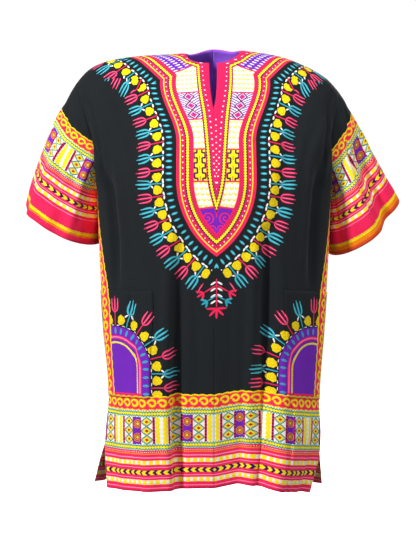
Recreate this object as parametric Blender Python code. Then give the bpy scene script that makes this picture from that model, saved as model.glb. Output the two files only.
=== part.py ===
"""A dashiki shirt, worn on nobody: the cloth keeps the hollow form of the figure that filled it.

Sizes are millimetres until a mesh is made. The origin lies between the shoulders at the level of the neck
points, where a wearer holds the shirt up. The front faces -Y and +X is the right of the picture.
"""

from collections import namedtuple

import bpy
import numpy as np

# Driving sizes of the shirt
CLOTH = 1.5  # wall of the body and sleeves
TRIM_CLOTH = 1.2  # wall of the pockets and the neck facing
SEAM_GAP = 0.3  # between two pieces that are sewn together
HALF_WIDTH = 280.0  # of a body panel, along the cloth from centre to side seam
HEM_Z = -748.0
VENT_TOP_Z = -672.0
POCKET_FOOT_Z = -589.0
POCKET_TOP_Z = -408.0
ARMPIT_Z = -240.0
NECK_HALF_WIDTH = 50.0
NECK_POINT_Y = 5.0
NECK_SHIFT = -3.5  # of the neck's centre, to the right of the picture
NECK_DEPTHS = {"front": 50.0, "back": 53.0}  # of the neckline, seen from above
CREST_RISE = 3.0  # of the shoulder line from the neck points to the centre, where the neck is cut out
SLIT_HALF_WIDTH = 6.5
SLEEVE_CLEARANCE = 7.0  # between the sleeve's underside and the body at the cuff
UNDERARM_TILT = 0.9  # how much the underside of the sleeve starts outward
BESIDE_BODY = 16.0  # how near a place on the body counts as beside it

# How finely each stretch is divided
BODY_COLUMNS = 18  # from the centre to the side seam
NECK_COLUMN = 5  # the column that ends at the neck point
UPPER_ROWS = 12  # from the armpit to the shoulder seam
SLIT_ROW = 7  # of the upper rows, where the slit ends
SLEEVE_RINGS = 9
POCKET_COLUMNS = {-1: (7, 16), 1: (8, 17)}  # of each pocket's inner and outer edge, by side
FACING_COLUMN = 6
HEM_SPREAD = 0.07  # how far the middle columns move outward below the pocket's top, as a share of the row
FACING_ROWS = 6

# The lower body's stretches between named heights, and the rows in each
LowerStretch = namedtuple("LowerStretch", "foot top rows")
LOWER_STRETCHES = [
    LowerStretch(HEM_Z, VENT_TOP_Z, 4),
    LowerStretch(VENT_TOP_Z, POCKET_FOOT_Z, 3),
    LowerStretch(POCKET_FOOT_Z, POCKET_TOP_Z, 7),
    LowerStretch(POCKET_TOP_Z, ARMPIT_Z, 6),
]

# Level sections of the body. side_* is where front and back are sewn, *_left and *_right are each panel's
# widest half widths, and front_y and back_y are the reach of the middle of each panel.
Section = namedtuple(
    "Section",
    "z side_left side_right side_y front_left front_right front_y back_left back_right back_y",
)
SECTIONS = [
    Section(HEM_Z, 189, 181, -6, 187, 166, -96, 192, 184, 116),
    Section(-672, 190, 182, -4, 191, 184, -104, 192, 185, 112),
    Section(-590, 182, 180, -2, 184, 182, -114, 184, 182, 108),
    Section(-470, 188, 184, 0, 193, 190, -126, 191, 187, 106),
    Section(-360, 188, 186, 3, 199, 197, -134, 191, 189, 112),
    Section(ARMPIT_Z, 181, 179, 6, 203, 201, -138, 188, 186, 122),
]

# How much lower than level the cloth hangs at the hem, by the place across a panel. It fades to the armpit.
Droop = namedtuple("Droop", "panel across drop")
DROOPS = [
    Droop("front", -280, 2),
    Droop("front", -180, 5),
    Droop("front", -90, 4),
    Droop("front", 0, 2),
    Droop("front", 52, -6),
    Droop("front", 95, -3),
    Droop("front", 145, 5),
    Droop("front", 190, 9),
    Droop("front", 280, 13),
    Droop("back", -280, 2),
    Droop("back", -60, 3),
    Droop("back", 90, 1),
    Droop("back", 280, 13),
]

# How far each panel's edge stands off the side seam's line at the hem, below the vent
VentSpread = namedtuple("VentSpread", "panel left_out right_out back left_up right_up")
VENT_SPREADS = [
    VentSpread("front", -4, -16, -14, 0, 0),
    VentSpread("back", 22, 8, 20, 4, 11),
]

# The shoulder line of each side, from the neck point out to the armhole
ShoulderPoint = namedtuple("ShoulderPoint", "side out z")
SHOULDER_LINE = [
    ShoulderPoint(-1, NECK_HALF_WIDTH, 5),
    ShoulderPoint(-1, 90, 3),
    ShoulderPoint(-1, 135, 0),
    ShoulderPoint(-1, 179, -7),
    ShoulderPoint(-1, 207, -16),
    ShoulderPoint(-1, 227, -30),
    ShoulderPoint(-1, 243, -49),
    ShoulderPoint(1, NECK_HALF_WIDTH, 10),
    ShoulderPoint(1, 90, 5),
    ShoulderPoint(1, 125, -3),
    ShoulderPoint(1, 155, -15),
    ShoulderPoint(1, 182, -29),
    ShoulderPoint(1, 202, -44),
    ShoulderPoint(1, 218, -63),
]

# Handles of the armhole's curve from the armpit to the shoulder's end, as steps from those two ends
Armhole = namedtuple("Armhole", "low_out low_y low_z high_out high_y high_z")
ARMHOLES = {
    "front": Armhole(12, -84, 40, -4, -48, -12),
    "back": Armhole(8, 76, 40, -4, 50, -12),
}

# Handles of a panel's centre and shoulder columns: the rise above the armpit row, and the step off the top
Drape = namedtuple("Drape", "neck_rise rise neck_y neck_z shoulder_y shoulder_z")
DRAPES = {
    "front": Drape(100, 88, -58, 2, -52, -4),
    "back": Drape(168, 104, 70, 62, 56, -4),
}

# Soft folds of a body panel. across_* is along the cloth from the centre, to the right of the picture, and
# lift is outward, or inward where it is below nought. flat is the share of the width that has full depth.
Fold = namedtuple("Fold", "panel top foot across_top across_foot half_width lift flat foot_share")
FOLDS = [
    Fold("front", -330, HEM_Z, -2, -3, 84, -20, 0.6, 1.0),
    Fold("front", -300, HEM_Z, -112, -128, 44, 13, 0.0, 1.0),
    Fold("front", -340, HEM_Z, 118, 134, 46, 15, 0.0, 1.0),
    Fold("front", -95, -430, -186, -180, 34, -6, 0.0, 0.0),
    Fold("front", -95, -450, 182, 176, 34, -6, 0.0, 0.0),
    Fold("front", -520, HEM_Z, -206, -216, 36, -7, 0.0, 1.0),
    Fold("front", -560, HEM_Z, 204, 214, 36, -8, 0.0, 1.0),
    Fold("back", -180, HEM_Z, -58, -74, 44, -13, 0.0, 1.0),
    Fold("back", -210, HEM_Z, 66, 58, 46, -15, 0.0, 1.0),
    Fold("back", -300, HEM_Z, -4, -10, 40, 8, 0.0, 1.0),
    Fold("back", -90, -420, -186, -176, 36, -6, 0.0, 0.0),
    Fold("back", -90, -440, 182, 174, 36, -7, 0.0, 0.0),
    Fold("back", -430, HEM_Z, -168, -182, 44, 11, 0.0, 1.0),
    Fold("back", -400, HEM_Z, 160, 176, 44, 12, 0.0, 1.0),
]

# The cuff of each sleeve: its middle, the steps from there to its outer point and to its front, and the
# reach of the sleeve's handles at the armhole and at the cuff
Cuff = namedtuple("Cuff", "side middle outer front armhole_reach cuff_reach")
CUFFS = {
    -1: Cuff(-1, (-262, 26, -287), (-66, -4, 35), (-14, -74, -26), 54, 60),
    1: Cuff(1, (260, 26, -294), (63, -4, 47), (12, -72, -28), 50, 60),
}

# Soft folds of a sleeve. around is the share of the way round from the underarm, up the front, over the top
# and down the back, at the armhole and at the cuff, and the fold is strongest from start to end.
SleeveFold = namedtuple("SleeveFold", "side around_armhole around_cuff half_width start end lift")
SLEEVE_FOLDS = [
    SleeveFold(-1, 0.40, 0.37, 0.055, 0.25, 1.0, 9),
    SleeveFold(-1, 0.5, 0.5, 0.1, 0.2, 0.8, 5),
    SleeveFold(-1, 0.27, 0.25, 0.05, 0.05, 0.9, -7),
    SleeveFold(-1, 0.66, 0.70, 0.06, 0.1, 1.0, -9),
    SleeveFold(1, 0.38, 0.36, 0.09, 0.2, 1.0, -23),
    SleeveFold(1, 0.5, 0.5, 0.09, 0.05, 0.7, -6),
    SleeveFold(1, 0.26, 0.24, 0.06, 0.3, 1.0, 6),
    SleeveFold(1, 0.68, 0.66, 0.06, 0.1, 1.0, -9),
]

# Colours seen in daylight, as linear red, green and blue
COLOURS = {
    "front": (0.015, 0.018, 0.022),
    "back": (0.015, 0.018, 0.022),
    "sleeve_left": (0.72, 0.02, 0.09),
    "sleeve_right": (0.72, 0.02, 0.09),
    "pocket_left": (0.17, 0.02, 0.55),
    "pocket_right": (0.17, 0.02, 0.55),
    "neck_facing": (0.17, 0.02, 0.55),
}
CLOTH_ROUGHNESS = 0.85


def smooth(value):
    """A ramp from 0 to 1 with no corner at either end."""
    value = np.clip(value, 0.0, 1.0)
    return value * value * (3.0 - 2.0 * value)


def lower_heights():
    """The heights of the rows from the hem to the armpit."""
    heights = [HEM_Z]
    for stretch in LOWER_STRETCHES:
        steps = np.linspace(stretch.foot, stretch.top, stretch.rows + 1)
        heights.extend(steps[1:])
    return np.array(heights)


def smooth_through(places, values, wanted):
    """A smooth line through a table's values, read at the places wanted."""
    slopes = np.gradient(values, places)
    k = np.clip(np.searchsorted(places, wanted) - 1, 0, len(places) - 2)
    span = places[k + 1] - places[k]
    t = (wanted - places[k]) / span
    return (
        (1 + 2 * t) * (1 - t) ** 2 * values[k]
        + t * (1 - t) ** 2 * span * slopes[k]
        + t * t * (3 - 2 * t) * values[k + 1]
        + t * t * (t - 1) * span * slopes[k + 1]
    )


def section_value(name, z):
    """One column of the section table at height z, smooth between its rows."""
    heights = np.array([row.z for row in SECTIONS], float)
    values = np.array([getattr(row, name) for row in SECTIONS], float)
    return float(smooth_through(heights, values, z))


def steps_along(points, shares):
    """Points at the given shares of a polyline's length."""
    lengths = np.linalg.norm(np.diff(points, axis=0), axis=1)
    along = np.concatenate([[0.0], np.cumsum(lengths)])
    wanted = shares * along[-1]
    return np.stack([np.interp(wanted, along, points[:, k]) for k in range(3)], axis=1)


def even_steps(points, count):
    """count points evenly spaced along a polyline, its ends included."""
    return steps_along(points, np.linspace(0.0, 1.0, count))


def drop_at(panel, across, z):
    """How much lower than level a panel hangs at places across it."""
    rows = [row for row in DROOPS if row.panel == panel]
    drops = np.interp(across, [row.across for row in rows], [row.drop for row in rows])
    return drops * smooth((ARMPIT_Z - z) / (ARMPIT_Z - VENT_TOP_Z))


def side_edge(panel, side, z):
    """Where a panel ends at the side seam or, below the vent's top, at the vent's edge, and its rise there."""
    name = "left" if side < 0 else "right"
    x = section_value("side_" + name, z)
    y = section_value("side_y", z)
    share = max(0.0, (VENT_TOP_Z - z) / (VENT_TOP_Z - HEM_Z))
    spread = next(row for row in VENT_SPREADS if row.panel == panel)
    x += getattr(spread, name + "_out") * share**0.9
    y += spread.back * share**1.2
    return x, y, getattr(spread, name + "_up") * share


def section_curve(panel, side, z):
    """A level section of a panel from its centre to its side edge."""
    name = "left" if side < 0 else "right"
    edge_x, edge_y, _ = side_edge(panel, side, z)
    widest = max(section_value(f"{panel}_{name}", z), edge_x + 0.5)
    middle_y = section_value(panel + "_y", z)
    turn = np.pi - np.arcsin(edge_x / widest)
    reach = (middle_y - edge_y) / (1.0 - np.cos(turn))
    angles = np.linspace(0.0, turn, 200)
    return np.stack(
        [side * widest * np.sin(angles), middle_y - reach * (1.0 - np.cos(angles)), np.full_like(angles, z)],
        axis=1,
    )


def lower_row(panel, side, z):
    """One row of a panel from its centre to its side edge."""
    shares = np.linspace(0.0, 1.0, BODY_COLUMNS + 1)
    spread = HEM_SPREAD * smooth((POCKET_TOP_Z - z) / (POCKET_TOP_Z - POCKET_FOOT_Z))
    row = steps_along(section_curve(panel, side, z), shares + spread * np.sin(np.pi * shares))
    across = np.linspace(0.0, side * HALF_WIDTH, BODY_COLUMNS + 1)
    rise = side_edge(panel, side, z)[2]
    row[:, 2] += rise * np.linspace(0.0, 1.0, BODY_COLUMNS + 1) ** 3 - drop_at(panel, across, z)
    return row


def shoulder_line(side, count):
    """The seam from the neck point to the armhole, which both panels share."""
    rows = [row for row in SHOULDER_LINE if row.side == side]
    out = np.array([row.out for row in rows], float)
    z = np.array([row.z for row in rows], float)
    fine = np.linspace(out[0], out[-1], 120)
    heights = smooth_through(out, z, fine)
    curve = np.stack([side * fine, np.full_like(fine, NECK_POINT_Y), heights], axis=1)
    return even_steps(curve, count)


def neck_crest(side):
    """The shoulder line carried on from the neck point to the centre, where the neck is cut out."""
    height = next(row.z for row in SHOULDER_LINE if row.side == side)
    middle = np.mean([row.z for row in SHOULDER_LINE if row.out == NECK_HALF_WIDTH]) + CREST_RISE
    share = np.linspace(0.0, 1.0, NECK_COLUMN + 1)
    heights = middle + (height - middle) * smooth(share)
    return np.stack([side * NECK_HALF_WIDTH * share, np.full_like(share, NECK_POINT_Y), heights], axis=1)


def upper_half(panel, side, armpit_row):
    """The rows above the armpit. Each column is a curve up to the shoulder line, cut off at the neckline."""
    crest = neck_crest(side)
    seam = shoulder_line(side, BODY_COLUMNS - NECK_COLUMN + 1)
    top_row = np.concatenate([crest, seam[1:]])
    drape, armhole = DRAPES[panel], ARMHOLES[panel]
    columns = np.linspace(0.0, 1.0, BODY_COLUMNS + 1)
    neck_share = NECK_COLUMN / BODY_COLUMNS
    toward_edge = smooth((columns - 0.5) / 0.5)[:, None]
    past_neck = smooth(columns / (1.6 * neck_share))[:, None]
    low_neck, low_shoulder = np.array([0.0, 0.0, drape.neck_rise]), np.array([0.0, 0.0, drape.rise])
    low_middle = (1 - past_neck) * low_neck + past_neck * low_shoulder
    low_edge = np.array([side * armhole.low_out, armhole.low_y, armhole.low_z])
    high_neck = np.array([0.0, drape.neck_y, drape.neck_z])
    high_shoulder = np.array([0.0, drape.shoulder_y, drape.shoulder_z])
    high_edge = np.array([side * armhole.high_out, armhole.high_y, armhole.high_z])
    low = armpit_row + (1 - toward_edge) * low_middle + toward_edge * low_edge
    high_inner = (1 - past_neck) * high_neck + past_neck * high_shoulder
    high = top_row + (1 - toward_edge) * high_inner + toward_edge * high_edge
    columns_found = []
    for c in range(BODY_COLUMNS + 1):
        t = np.linspace(0.0, 1.0, 240)[:, None]
        curve = (
            (1 - t) ** 3 * armpit_row[c]
            + 3 * t * (1 - t) ** 2 * low[c]
            + 3 * t * t * (1 - t) * high[c]
            + t**3 * top_row[c]
        )
        curve[:, 0] += NECK_SHIFT * (1.0 - columns[c]) * smooth(t[:, 0])
        if c < NECK_COLUMN:
            curve = curve[: first_inside_neck(panel, curve) + 1]
        columns_found.append(even_steps(curve, UPPER_ROWS + 1))
    return list(np.array(columns_found).transpose(1, 0, 2))


def first_inside_neck(panel, curve):
    """The number of the first point of a rising curve that lies inside the neckline, seen from above."""
    x = (curve[:, 0] - NECK_SHIFT) / NECK_HALF_WIDTH
    y = (curve[:, 1] - NECK_POINT_Y) / NECK_DEPTHS[panel]
    return int(np.argmax(x * x + y * y <= 1.0))


def open_slit(rows, side):
    """Moves the columns beside the centre aside, to open the neck slit of the front."""
    foot = len(rows) - 1 - UPPER_ROWS + SLIT_ROW
    columns = np.linspace(0.0, 1.0, BODY_COLUMNS + 1)
    fade = np.clip(1.0 - columns * BODY_COLUMNS / NECK_COLUMN, 0.0, 1.0)
    for k in range(foot + 1, len(rows)):
        opened = SLIT_HALF_WIDTH * (1.0 - (1.0 - (k - foot) / (len(rows) - 1 - foot)) ** 3)
        rows[k][:, 0] += side * opened * fade


def body_half(panel, side):
    """The rows of one half of a panel, from the hem up and from the centre out, with no folds yet."""
    rows = [lower_row(panel, side, z) for z in lower_heights()]
    rows.extend(upper_half(panel, side, rows[-1])[1:])
    if panel == "front":
        open_slit(rows, side)
    return rows


def fold_lift(panel, across, z):
    """How far the cloth stands off its plain form at a distance across the panel and a height."""
    lift = np.zeros_like(across)
    for fold in FOLDS:
        if fold.panel != panel:
            continue
        share = (fold.top - z) / (fold.top - fold.foot)
        line = fold.across_top + (fold.across_foot - fold.across_top) * np.clip(share, 0.0, 1.0)
        away = np.abs(across - line) / fold.half_width
        away = np.clip((away - fold.flat) / (1.0 - fold.flat), 0.0, 1.0)
        profile = 0.5 + 0.5 * np.cos(np.pi * away)
        fading_in = smooth(share * (1.0 if fold.foot_share else 2.5))
        fading_out = 1.0 if fold.foot_share else smooth((1.0 - share) * 2.5)
        lift += fold.lift * profile * fading_in * fading_out
    return lift


def grid_normals(points):
    """Unit normals of a grid of points, by the directions of its rows and columns."""
    across = np.gradient(points, axis=1)
    along = np.gradient(points, axis=0)
    normals = np.cross(across, along)
    return normals / np.linalg.norm(normals, axis=2, keepdims=True)


def folded_half(panel, side):
    """One half of a panel with its folds. Seams and the armhole keep their place."""
    points = np.array(body_half(panel, side))
    outward = grid_normals(points) * (side if panel == "front" else -side)
    across = np.linspace(0.0, side * HALF_WIDTH, BODY_COLUMNS + 1)[None, :]
    lift = fold_lift(panel, np.broadcast_to(across, points.shape[:2]).copy(), points[:, :, 2])
    held = smooth((1.0 - np.linspace(0.0, 1.0, BODY_COLUMNS + 1)) * 5.0)[None, :]
    below_top = smooth(np.arange(len(points))[::-1] / 4.0)[:, None]
    return points + outward * (lift * held * below_top)[:, :, None]


def armhole_edge(halves, panel, side):
    """The panel's outer edge from the armpit up to the shoulder's end."""
    first = sum(stretch.rows for stretch in LOWER_STRETCHES)
    return halves[panel, side][first:, -1]


def sleeve_rings(halves, side):
    """Rings of the sleeve from the armhole to the cuff. Each starts at the underarm and goes up the front."""
    up = armhole_edge(halves, "front", side)
    down = armhole_edge(halves, "back", side)[::-1]
    armhole = np.concatenate([up, down[1:-1]])
    count = len(armhole)
    around = np.arange(count) / count
    angle = np.pi * (1.0 - 2.0 * around)
    cuff = CUFFS[side]
    middle, outer, front = (np.array(v, float) for v in (cuff.middle, cuff.outer, cuff.front))
    end = middle + np.cos(angle)[:, None] * outer + np.sin(angle)[:, None] * front
    axis = middle - armhole.mean(axis=0)
    axis /= np.linalg.norm(axis)
    spread = armhole - armhole.mean(axis=0)
    spread /= np.linalg.norm(spread, axis=1, keepdims=True)
    heights = armhole[:, 2]
    lowness = smooth((heights.mean() - heights) / (heights.mean() - heights.min()))[:, None]
    away = axis + 0.2 * spread + (0.12 + UNDERARM_TILT * lowness) * np.array([side, 0.0, 0.0])
    away /= np.linalg.norm(away, axis=1, keepdims=True)
    length = np.linalg.norm(end - armhole, axis=1, keepdims=True)
    start_handle = armhole + away * np.minimum(cuff.armhole_reach, 0.36 * length)
    end_handle = end - axis * np.minimum(cuff.cuff_reach, 0.36 * length)
    rings = []
    for t in np.linspace(0.0, 1.0, SLEEVE_RINGS + 1):
        rings.append(
            (1 - t) ** 3 * armhole
            + 3 * t * (1 - t) ** 2 * start_handle
            + 3 * t * t * (1 - t) * end_handle
            + t**3 * end
        )
    rings = np.array(rings)
    rings += ring_normals(rings, side) * sleeve_lift(side, around, count)[:, :, None]
    return clear_of_body(rings, halves, side)


def body_places(halves, side):
    """Points of one side of the body with their outward normals. The armhole's own points are left out."""
    armpit = sum(stretch.rows for stretch in LOWER_STRETCHES)
    places, directions = [], []
    for panel, sign in (("front", side), ("back", -side)):
        points = np.array(halves[panel, side])
        normals = grid_normals(points) * sign
        for grid, found in ((points, places), (normals, directions)):
            found.append(grid[:armpit].reshape(-1, 3))
            found.append(grid[armpit:, :-1].reshape(-1, 3))
    return np.concatenate(places), np.concatenate(directions)


def clear_of_body(rings, halves, side):
    """Moves the sleeve's underside out where it would rest on the body."""
    places, directions = body_places(halves, side)
    for k, ring in enumerate(rings[1:], start=1):
        gap = CLOTH + 1.0 + SLEEVE_CLEARANCE * np.sqrt(k / SLEEVE_RINGS)
        for point in ring:
            nearest = np.argmin(np.linalg.norm(places - point, axis=1))
            step = point - places[nearest]
            height = float(step @ directions[nearest])
            beside = np.linalg.norm(step - height * directions[nearest])
            if beside < BESIDE_BODY and height < gap:
                point += directions[nearest] * (gap - height)
    return rings


def ring_normals(rings, side):
    """Outward unit normals of closed rings."""
    across = np.roll(rings, -1, axis=1) - np.roll(rings, 1, axis=1)
    along = np.gradient(rings, axis=0)
    normals = np.cross(along, across) * side
    return normals / np.linalg.norm(normals, axis=2, keepdims=True)


def sleeve_lift(side, around, count):
    """How far each point of the sleeve's rings stands off the plain tube."""
    lift = np.zeros((SLEEVE_RINGS + 1, count))
    for k, t in enumerate(np.linspace(0.0, 1.0, SLEEVE_RINGS + 1)):
        for fold in SLEEVE_FOLDS:
            if fold.side != side:
                continue
            line = fold.around_armhole + (fold.around_cuff - fold.around_armhole) * t
            away = np.clip(np.abs(around - line) / fold.half_width, 0.0, 1.0)
            strength = smooth((t - fold.start) / 0.3) * smooth((fold.end + 0.3 - t) / 0.3)
            lift[k] += fold.lift * (0.5 + 0.5 * np.cos(np.pi * away)) * strength
    return lift


class Sheet:
    """A piece of cloth before it has a thickness: its points, and its faces with their outer side in front."""

    def __init__(self):
        self.points = []
        self.faces = []

    def add(self, point):
        """Adds a point and returns its number."""
        self.points.append(point)
        return len(self.points) - 1


def body_sheet(halves, panel):
    """Both halves of a panel, sewn at the centre up to the slit, with the grid of point numbers of each half."""
    sheet = Sheet()
    left, right = halves[panel, -1], halves[panel, 1]
    rows = len(left)
    slit_foot = rows - 1 - UPPER_ROWS + SLIT_ROW if panel == "front" else rows - 1
    grids = {}
    for side, half in ((-1, left), (1, right)):
        grid = np.zeros(half.shape[:2], int)
        for r in range(rows):
            for c in range(BODY_COLUMNS + 1):
                shared = c == 0 and r <= slit_foot and side > 0
                grid[r, c] = grids[-1][r, 0] if shared else sheet.add(half[r, c])
        grids[side] = grid
    for r in range(slit_foot + 1):
        number = grids[-1][r, 0]
        sheet.points[number] = (left[r, 0] + right[r, 0]) / 2
    for side, grid in grids.items():
        for r in range(rows - 1):
            for c in range(BODY_COLUMNS):
                quad = [grid[r, c], grid[r, c + 1], grid[r + 1, c + 1], grid[r + 1, c]]
                outward = (side > 0) == (panel == "front")
                sheet.faces.append(quad if outward else quad[::-1])
    return sheet, grids


def sleeve_sheet(rings, side):
    """The sleeve's tube."""
    sheet = Sheet()
    count = rings.shape[1]
    grid = np.array([[sheet.add(point) for point in ring] for ring in rings])
    for k in range(len(rings) - 1):
        for j in range(count):
            after = (j + 1) % count
            quad = [grid[k, j], grid[k + 1, j], grid[k + 1, after], grid[k, after]]
            sheet.faces.append(quad if side > 0 else quad[::-1])
    return sheet


def own_normals(sheet):
    """A normal for each point of one sheet."""
    points = np.array(sheet.points)
    normals = np.zeros_like(points)
    for face in sheet.faces:
        a, b, c, d = points[face]
        normals[face] += np.cross(c - a, d - b)
    return normals / np.linalg.norm(normals, axis=1, keepdims=True)


def sewn_normals(sheets):
    """For each sheet, a normal for each point and how much wider the gap of its seam is cut there.

    Points that are sewn together share a normal, unless the cloth folds back at the seam.
    """
    own = [own_normals(sheet) for sheet in sheets]
    meetings = {}
    for k, sheet in enumerate(sheets):
        for number, point in enumerate(sheet.points):
            meetings.setdefault(tuple(np.round(point, 2)), []).append(own[k][number])
    found = []
    for k, sheet in enumerate(sheets):
        normals, widening = own[k].copy(), np.ones(len(sheet.points))
        for number, point in enumerate(sheet.points):
            mine = own[k][number]
            for other in meetings[tuple(np.round(point, 2))]:
                if other is mine or np.array_equal(other, mine):
                    continue
                agreement = float(other @ mine)
                normals[number] += other * np.clip((agreement + 0.2) / 0.8, 0.0, 1.0)
                widening[number] = max(widening[number], 1.0 / np.sqrt(max(0.12, (1.0 + agreement) / 2)))
        found.append((normals / np.linalg.norm(normals, axis=1, keepdims=True), widening))
    return found


def rim_edges(faces):
    """The directed edges that only one face uses."""
    edges = {}
    for face in faces:
        for a, b in zip(face, face[1:] + face[:1]):
            edges[a, b] = True
    return [(a, b) for a, b in edges if (b, a) not in edges]


def drawn_in(sheet, normals, widening, distance):
    """The sheet's points with its rim moved inward along the cloth, which leaves the gap at a seam."""
    points = np.array(sheet.points)
    moves = {}
    for a, b in rim_edges(sheet.faces):
        along = points[b] - points[a]
        for number in (a, b):
            inward = np.cross(normals[number], along)
            inward /= np.linalg.norm(inward)
            moves.setdefault(number, []).append(inward)
    drawn = points.copy()
    for number, found in moves.items():
        total = np.sum(found, axis=0)
        size = np.linalg.norm(total)
        direction = total / size
        corner = max(0.35, float(np.dot(direction, found[0])))
        drawn[number] += direction * distance * widening[number] / corner
    return drawn


def thickened(points, normals, faces, wall, lift=0.0):
    """A closed wall inside a sheet: vertices and faces. lift moves its outer side off the sheet."""
    count = len(points)
    vertices = np.concatenate([points + normals * lift, points + normals * (lift - wall)])
    solid = [list(face) for face in faces]
    solid.extend([[number + count for number in face[::-1]] for face in faces])
    solid.extend([[b, a, a + count, b + count] for a, b in rim_edges(faces)])
    return vertices, solid


def split_quads(vertices, faces):
    """Cuts each four-sided face along its shorter diagonal, so that every face is flat."""
    flat = []
    for face in faces:
        a, b, c, d = face
        short = np.linalg.norm(vertices[a] - vertices[c]) <= np.linalg.norm(vertices[b] - vertices[d])
        flat.extend([[a, b, c], [a, c, d]] if short else [[a, b, d], [b, c, d]])
    return flat


def make_object(name, vertices, faces):
    """A smooth-shaded object in metres, with its own material."""
    used = sorted({number for face in faces for number in face})
    renumber = {number: k for k, number in enumerate(used)}
    mesh = bpy.data.meshes.new(name)
    places = [tuple(v * 0.001) for v in vertices[used]]
    mesh.from_pydata(places, [], [[renumber[n] for n in face] for face in faces])
    mesh.update()
    mesh.shade_smooth()
    mesh.set_sharp_from_angle(angle=np.radians(50))
    material = bpy.data.materials.new(name)
    material.use_nodes = True
    surface = material.node_tree.nodes["Principled BSDF"]
    surface.inputs["Base Color"].default_value = (*COLOURS[name], 1.0)
    surface.inputs["Roughness"].default_value = CLOTH_ROUGHNESS
    surface.inputs["Metallic"].default_value = 0.0
    mesh.materials.append(material)
    made = bpy.data.objects.new(name, mesh)
    bpy.context.scene.collection.objects.link(made)
    return made


def pocket(sheet, grids, normals, side):
    """A patch pocket made from the front's own points, moved out."""
    first = LOWER_STRETCHES[0].rows + LOWER_STRETCHES[1].rows
    last = first + LOWER_STRETCHES[2].rows
    grid = grids[side]
    inner, outer = POCKET_COLUMNS[side]
    faces = []
    for r in range(first, last):
        for c in range(inner, outer):
            quad = [grid[r, c], grid[r, c + 1], grid[r + 1, c + 1], grid[r + 1, c]]
            faces.append([int(n) for n in (quad if side > 0 else quad[::-1])])
    lift = SEAM_GAP + TRIM_CLOTH
    return thickened(np.array(sheet.points), normals, faces, TRIM_CLOTH, lift)


def neck_facing(sheet, grids, normals):
    """The facing inside the back of the neck, made from the back's own points, moved in."""
    top = grids[-1].shape[0] - 1
    faces = []
    for side, grid in grids.items():
        for r in range(top - FACING_ROWS, top):
            for c in range(FACING_COLUMN):
                quad = [grid[r, c], grid[r, c + 1], grid[r + 1, c + 1], grid[r + 1, c]]
                faces.append([int(n) for n in (quad if side < 0 else quad[::-1])])
    lift = -(CLOTH + SEAM_GAP)
    return thickened(np.array(sheet.points), normals, faces, TRIM_CLOTH, lift)


def clear_scene():
    """Removes every object of the scene."""
    for found in list(bpy.data.objects):
        bpy.data.objects.remove(found, do_unlink=True)


def main():
    """Cuts, sews and makes every piece of the shirt."""
    clear_scene()
    halves = {(panel, side): folded_half(panel, side) for panel in ("front", "back") for side in (-1, 1)}
    front, front_grids = body_sheet(halves, "front")
    back, back_grids = body_sheet(halves, "back")
    sleeves = {side: sleeve_sheet(sleeve_rings(halves, side), side) for side in (-1, 1)}
    sheets = {
        "front": front,
        "back": back,
        "sleeve_left": sleeves[-1],
        "sleeve_right": sleeves[1],
    }
    sewn = dict(zip(sheets, sewn_normals(list(sheets.values()))))
    for name, sheet in sheets.items():
        normals, widening = sewn[name]
        faces = [[int(n) for n in face] for face in sheet.faces]
        sheet.points = list(drawn_in(sheet, normals, widening, SEAM_GAP / 2))
        vertices, solid = thickened(np.array(sheet.points), normals, faces, CLOTH)
        make_object(name, vertices, split_quads(vertices, solid))
    for name, side in (("pocket_left", -1), ("pocket_right", 1)):
        vertices, solid = pocket(front, front_grids, sewn["front"][0], side)
        make_object(name, vertices, split_quads(vertices, solid))
    vertices, solid = neck_facing(back, back_grids, sewn["back"][0])
    make_object("neck_facing", vertices, split_quads(vertices, solid))


main()
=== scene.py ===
"""A dashiki shirt, worn by nobody: thin printed cloth in the hollow form of the figure that filled it.

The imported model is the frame. The body panels, sleeves, pockets and neck facing are made here as thin shells
on the form of their solids, from the same named sizes, with finer folds. The form is worked out in
millimetres and becomes metres when a mesh is made. Every piece has a UV map in the coordinates of its flat
cut, in metres, which the print and the weave read.
"""

from __future__ import annotations

import logging
import math
from dataclasses import dataclass, field
from enum import Enum
from typing import Callable, Sequence

import bpy
import numpy as np
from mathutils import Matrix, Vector

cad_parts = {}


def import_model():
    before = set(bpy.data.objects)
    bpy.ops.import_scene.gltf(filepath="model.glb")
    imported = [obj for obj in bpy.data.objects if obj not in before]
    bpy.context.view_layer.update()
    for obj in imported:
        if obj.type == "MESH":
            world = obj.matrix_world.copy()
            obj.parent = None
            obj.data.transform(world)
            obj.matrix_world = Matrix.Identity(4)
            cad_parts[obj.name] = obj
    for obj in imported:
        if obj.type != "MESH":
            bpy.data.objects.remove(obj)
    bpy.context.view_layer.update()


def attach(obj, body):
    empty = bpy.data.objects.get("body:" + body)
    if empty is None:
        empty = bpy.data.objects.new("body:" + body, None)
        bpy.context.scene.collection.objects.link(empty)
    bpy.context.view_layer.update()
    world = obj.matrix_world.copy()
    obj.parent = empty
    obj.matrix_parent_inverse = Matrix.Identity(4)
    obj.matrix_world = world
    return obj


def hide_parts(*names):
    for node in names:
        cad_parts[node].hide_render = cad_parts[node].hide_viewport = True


LOG = logging.getLogger("dashiki")

PHOTO_HEIGHT = 541
MM = 0.001

Colour = tuple[float, float, float]
Vec2 = tuple[float, float]


class Panel(Enum):
    """The two panels of the body."""

    FRONT = "front"
    BACK = "back"


class Side(Enum):
    """The side of the picture that a piece is on, as the sign of X."""

    LEFT = -1
    RIGHT = 1

    @property
    def word(self) -> str:
        """The side's name in the names of pieces and sizes."""
        return self.name.lower()


# The worn form


@dataclass(frozen=True)
class Section:
    """A level section of the body: where the panels are sewn, and each panel's half widths and reach."""

    z: float
    side_left: float
    side_right: float
    side_y: float
    front_left: float
    front_right: float
    front_y: float
    back_left: float
    back_right: float
    back_y: float


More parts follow.
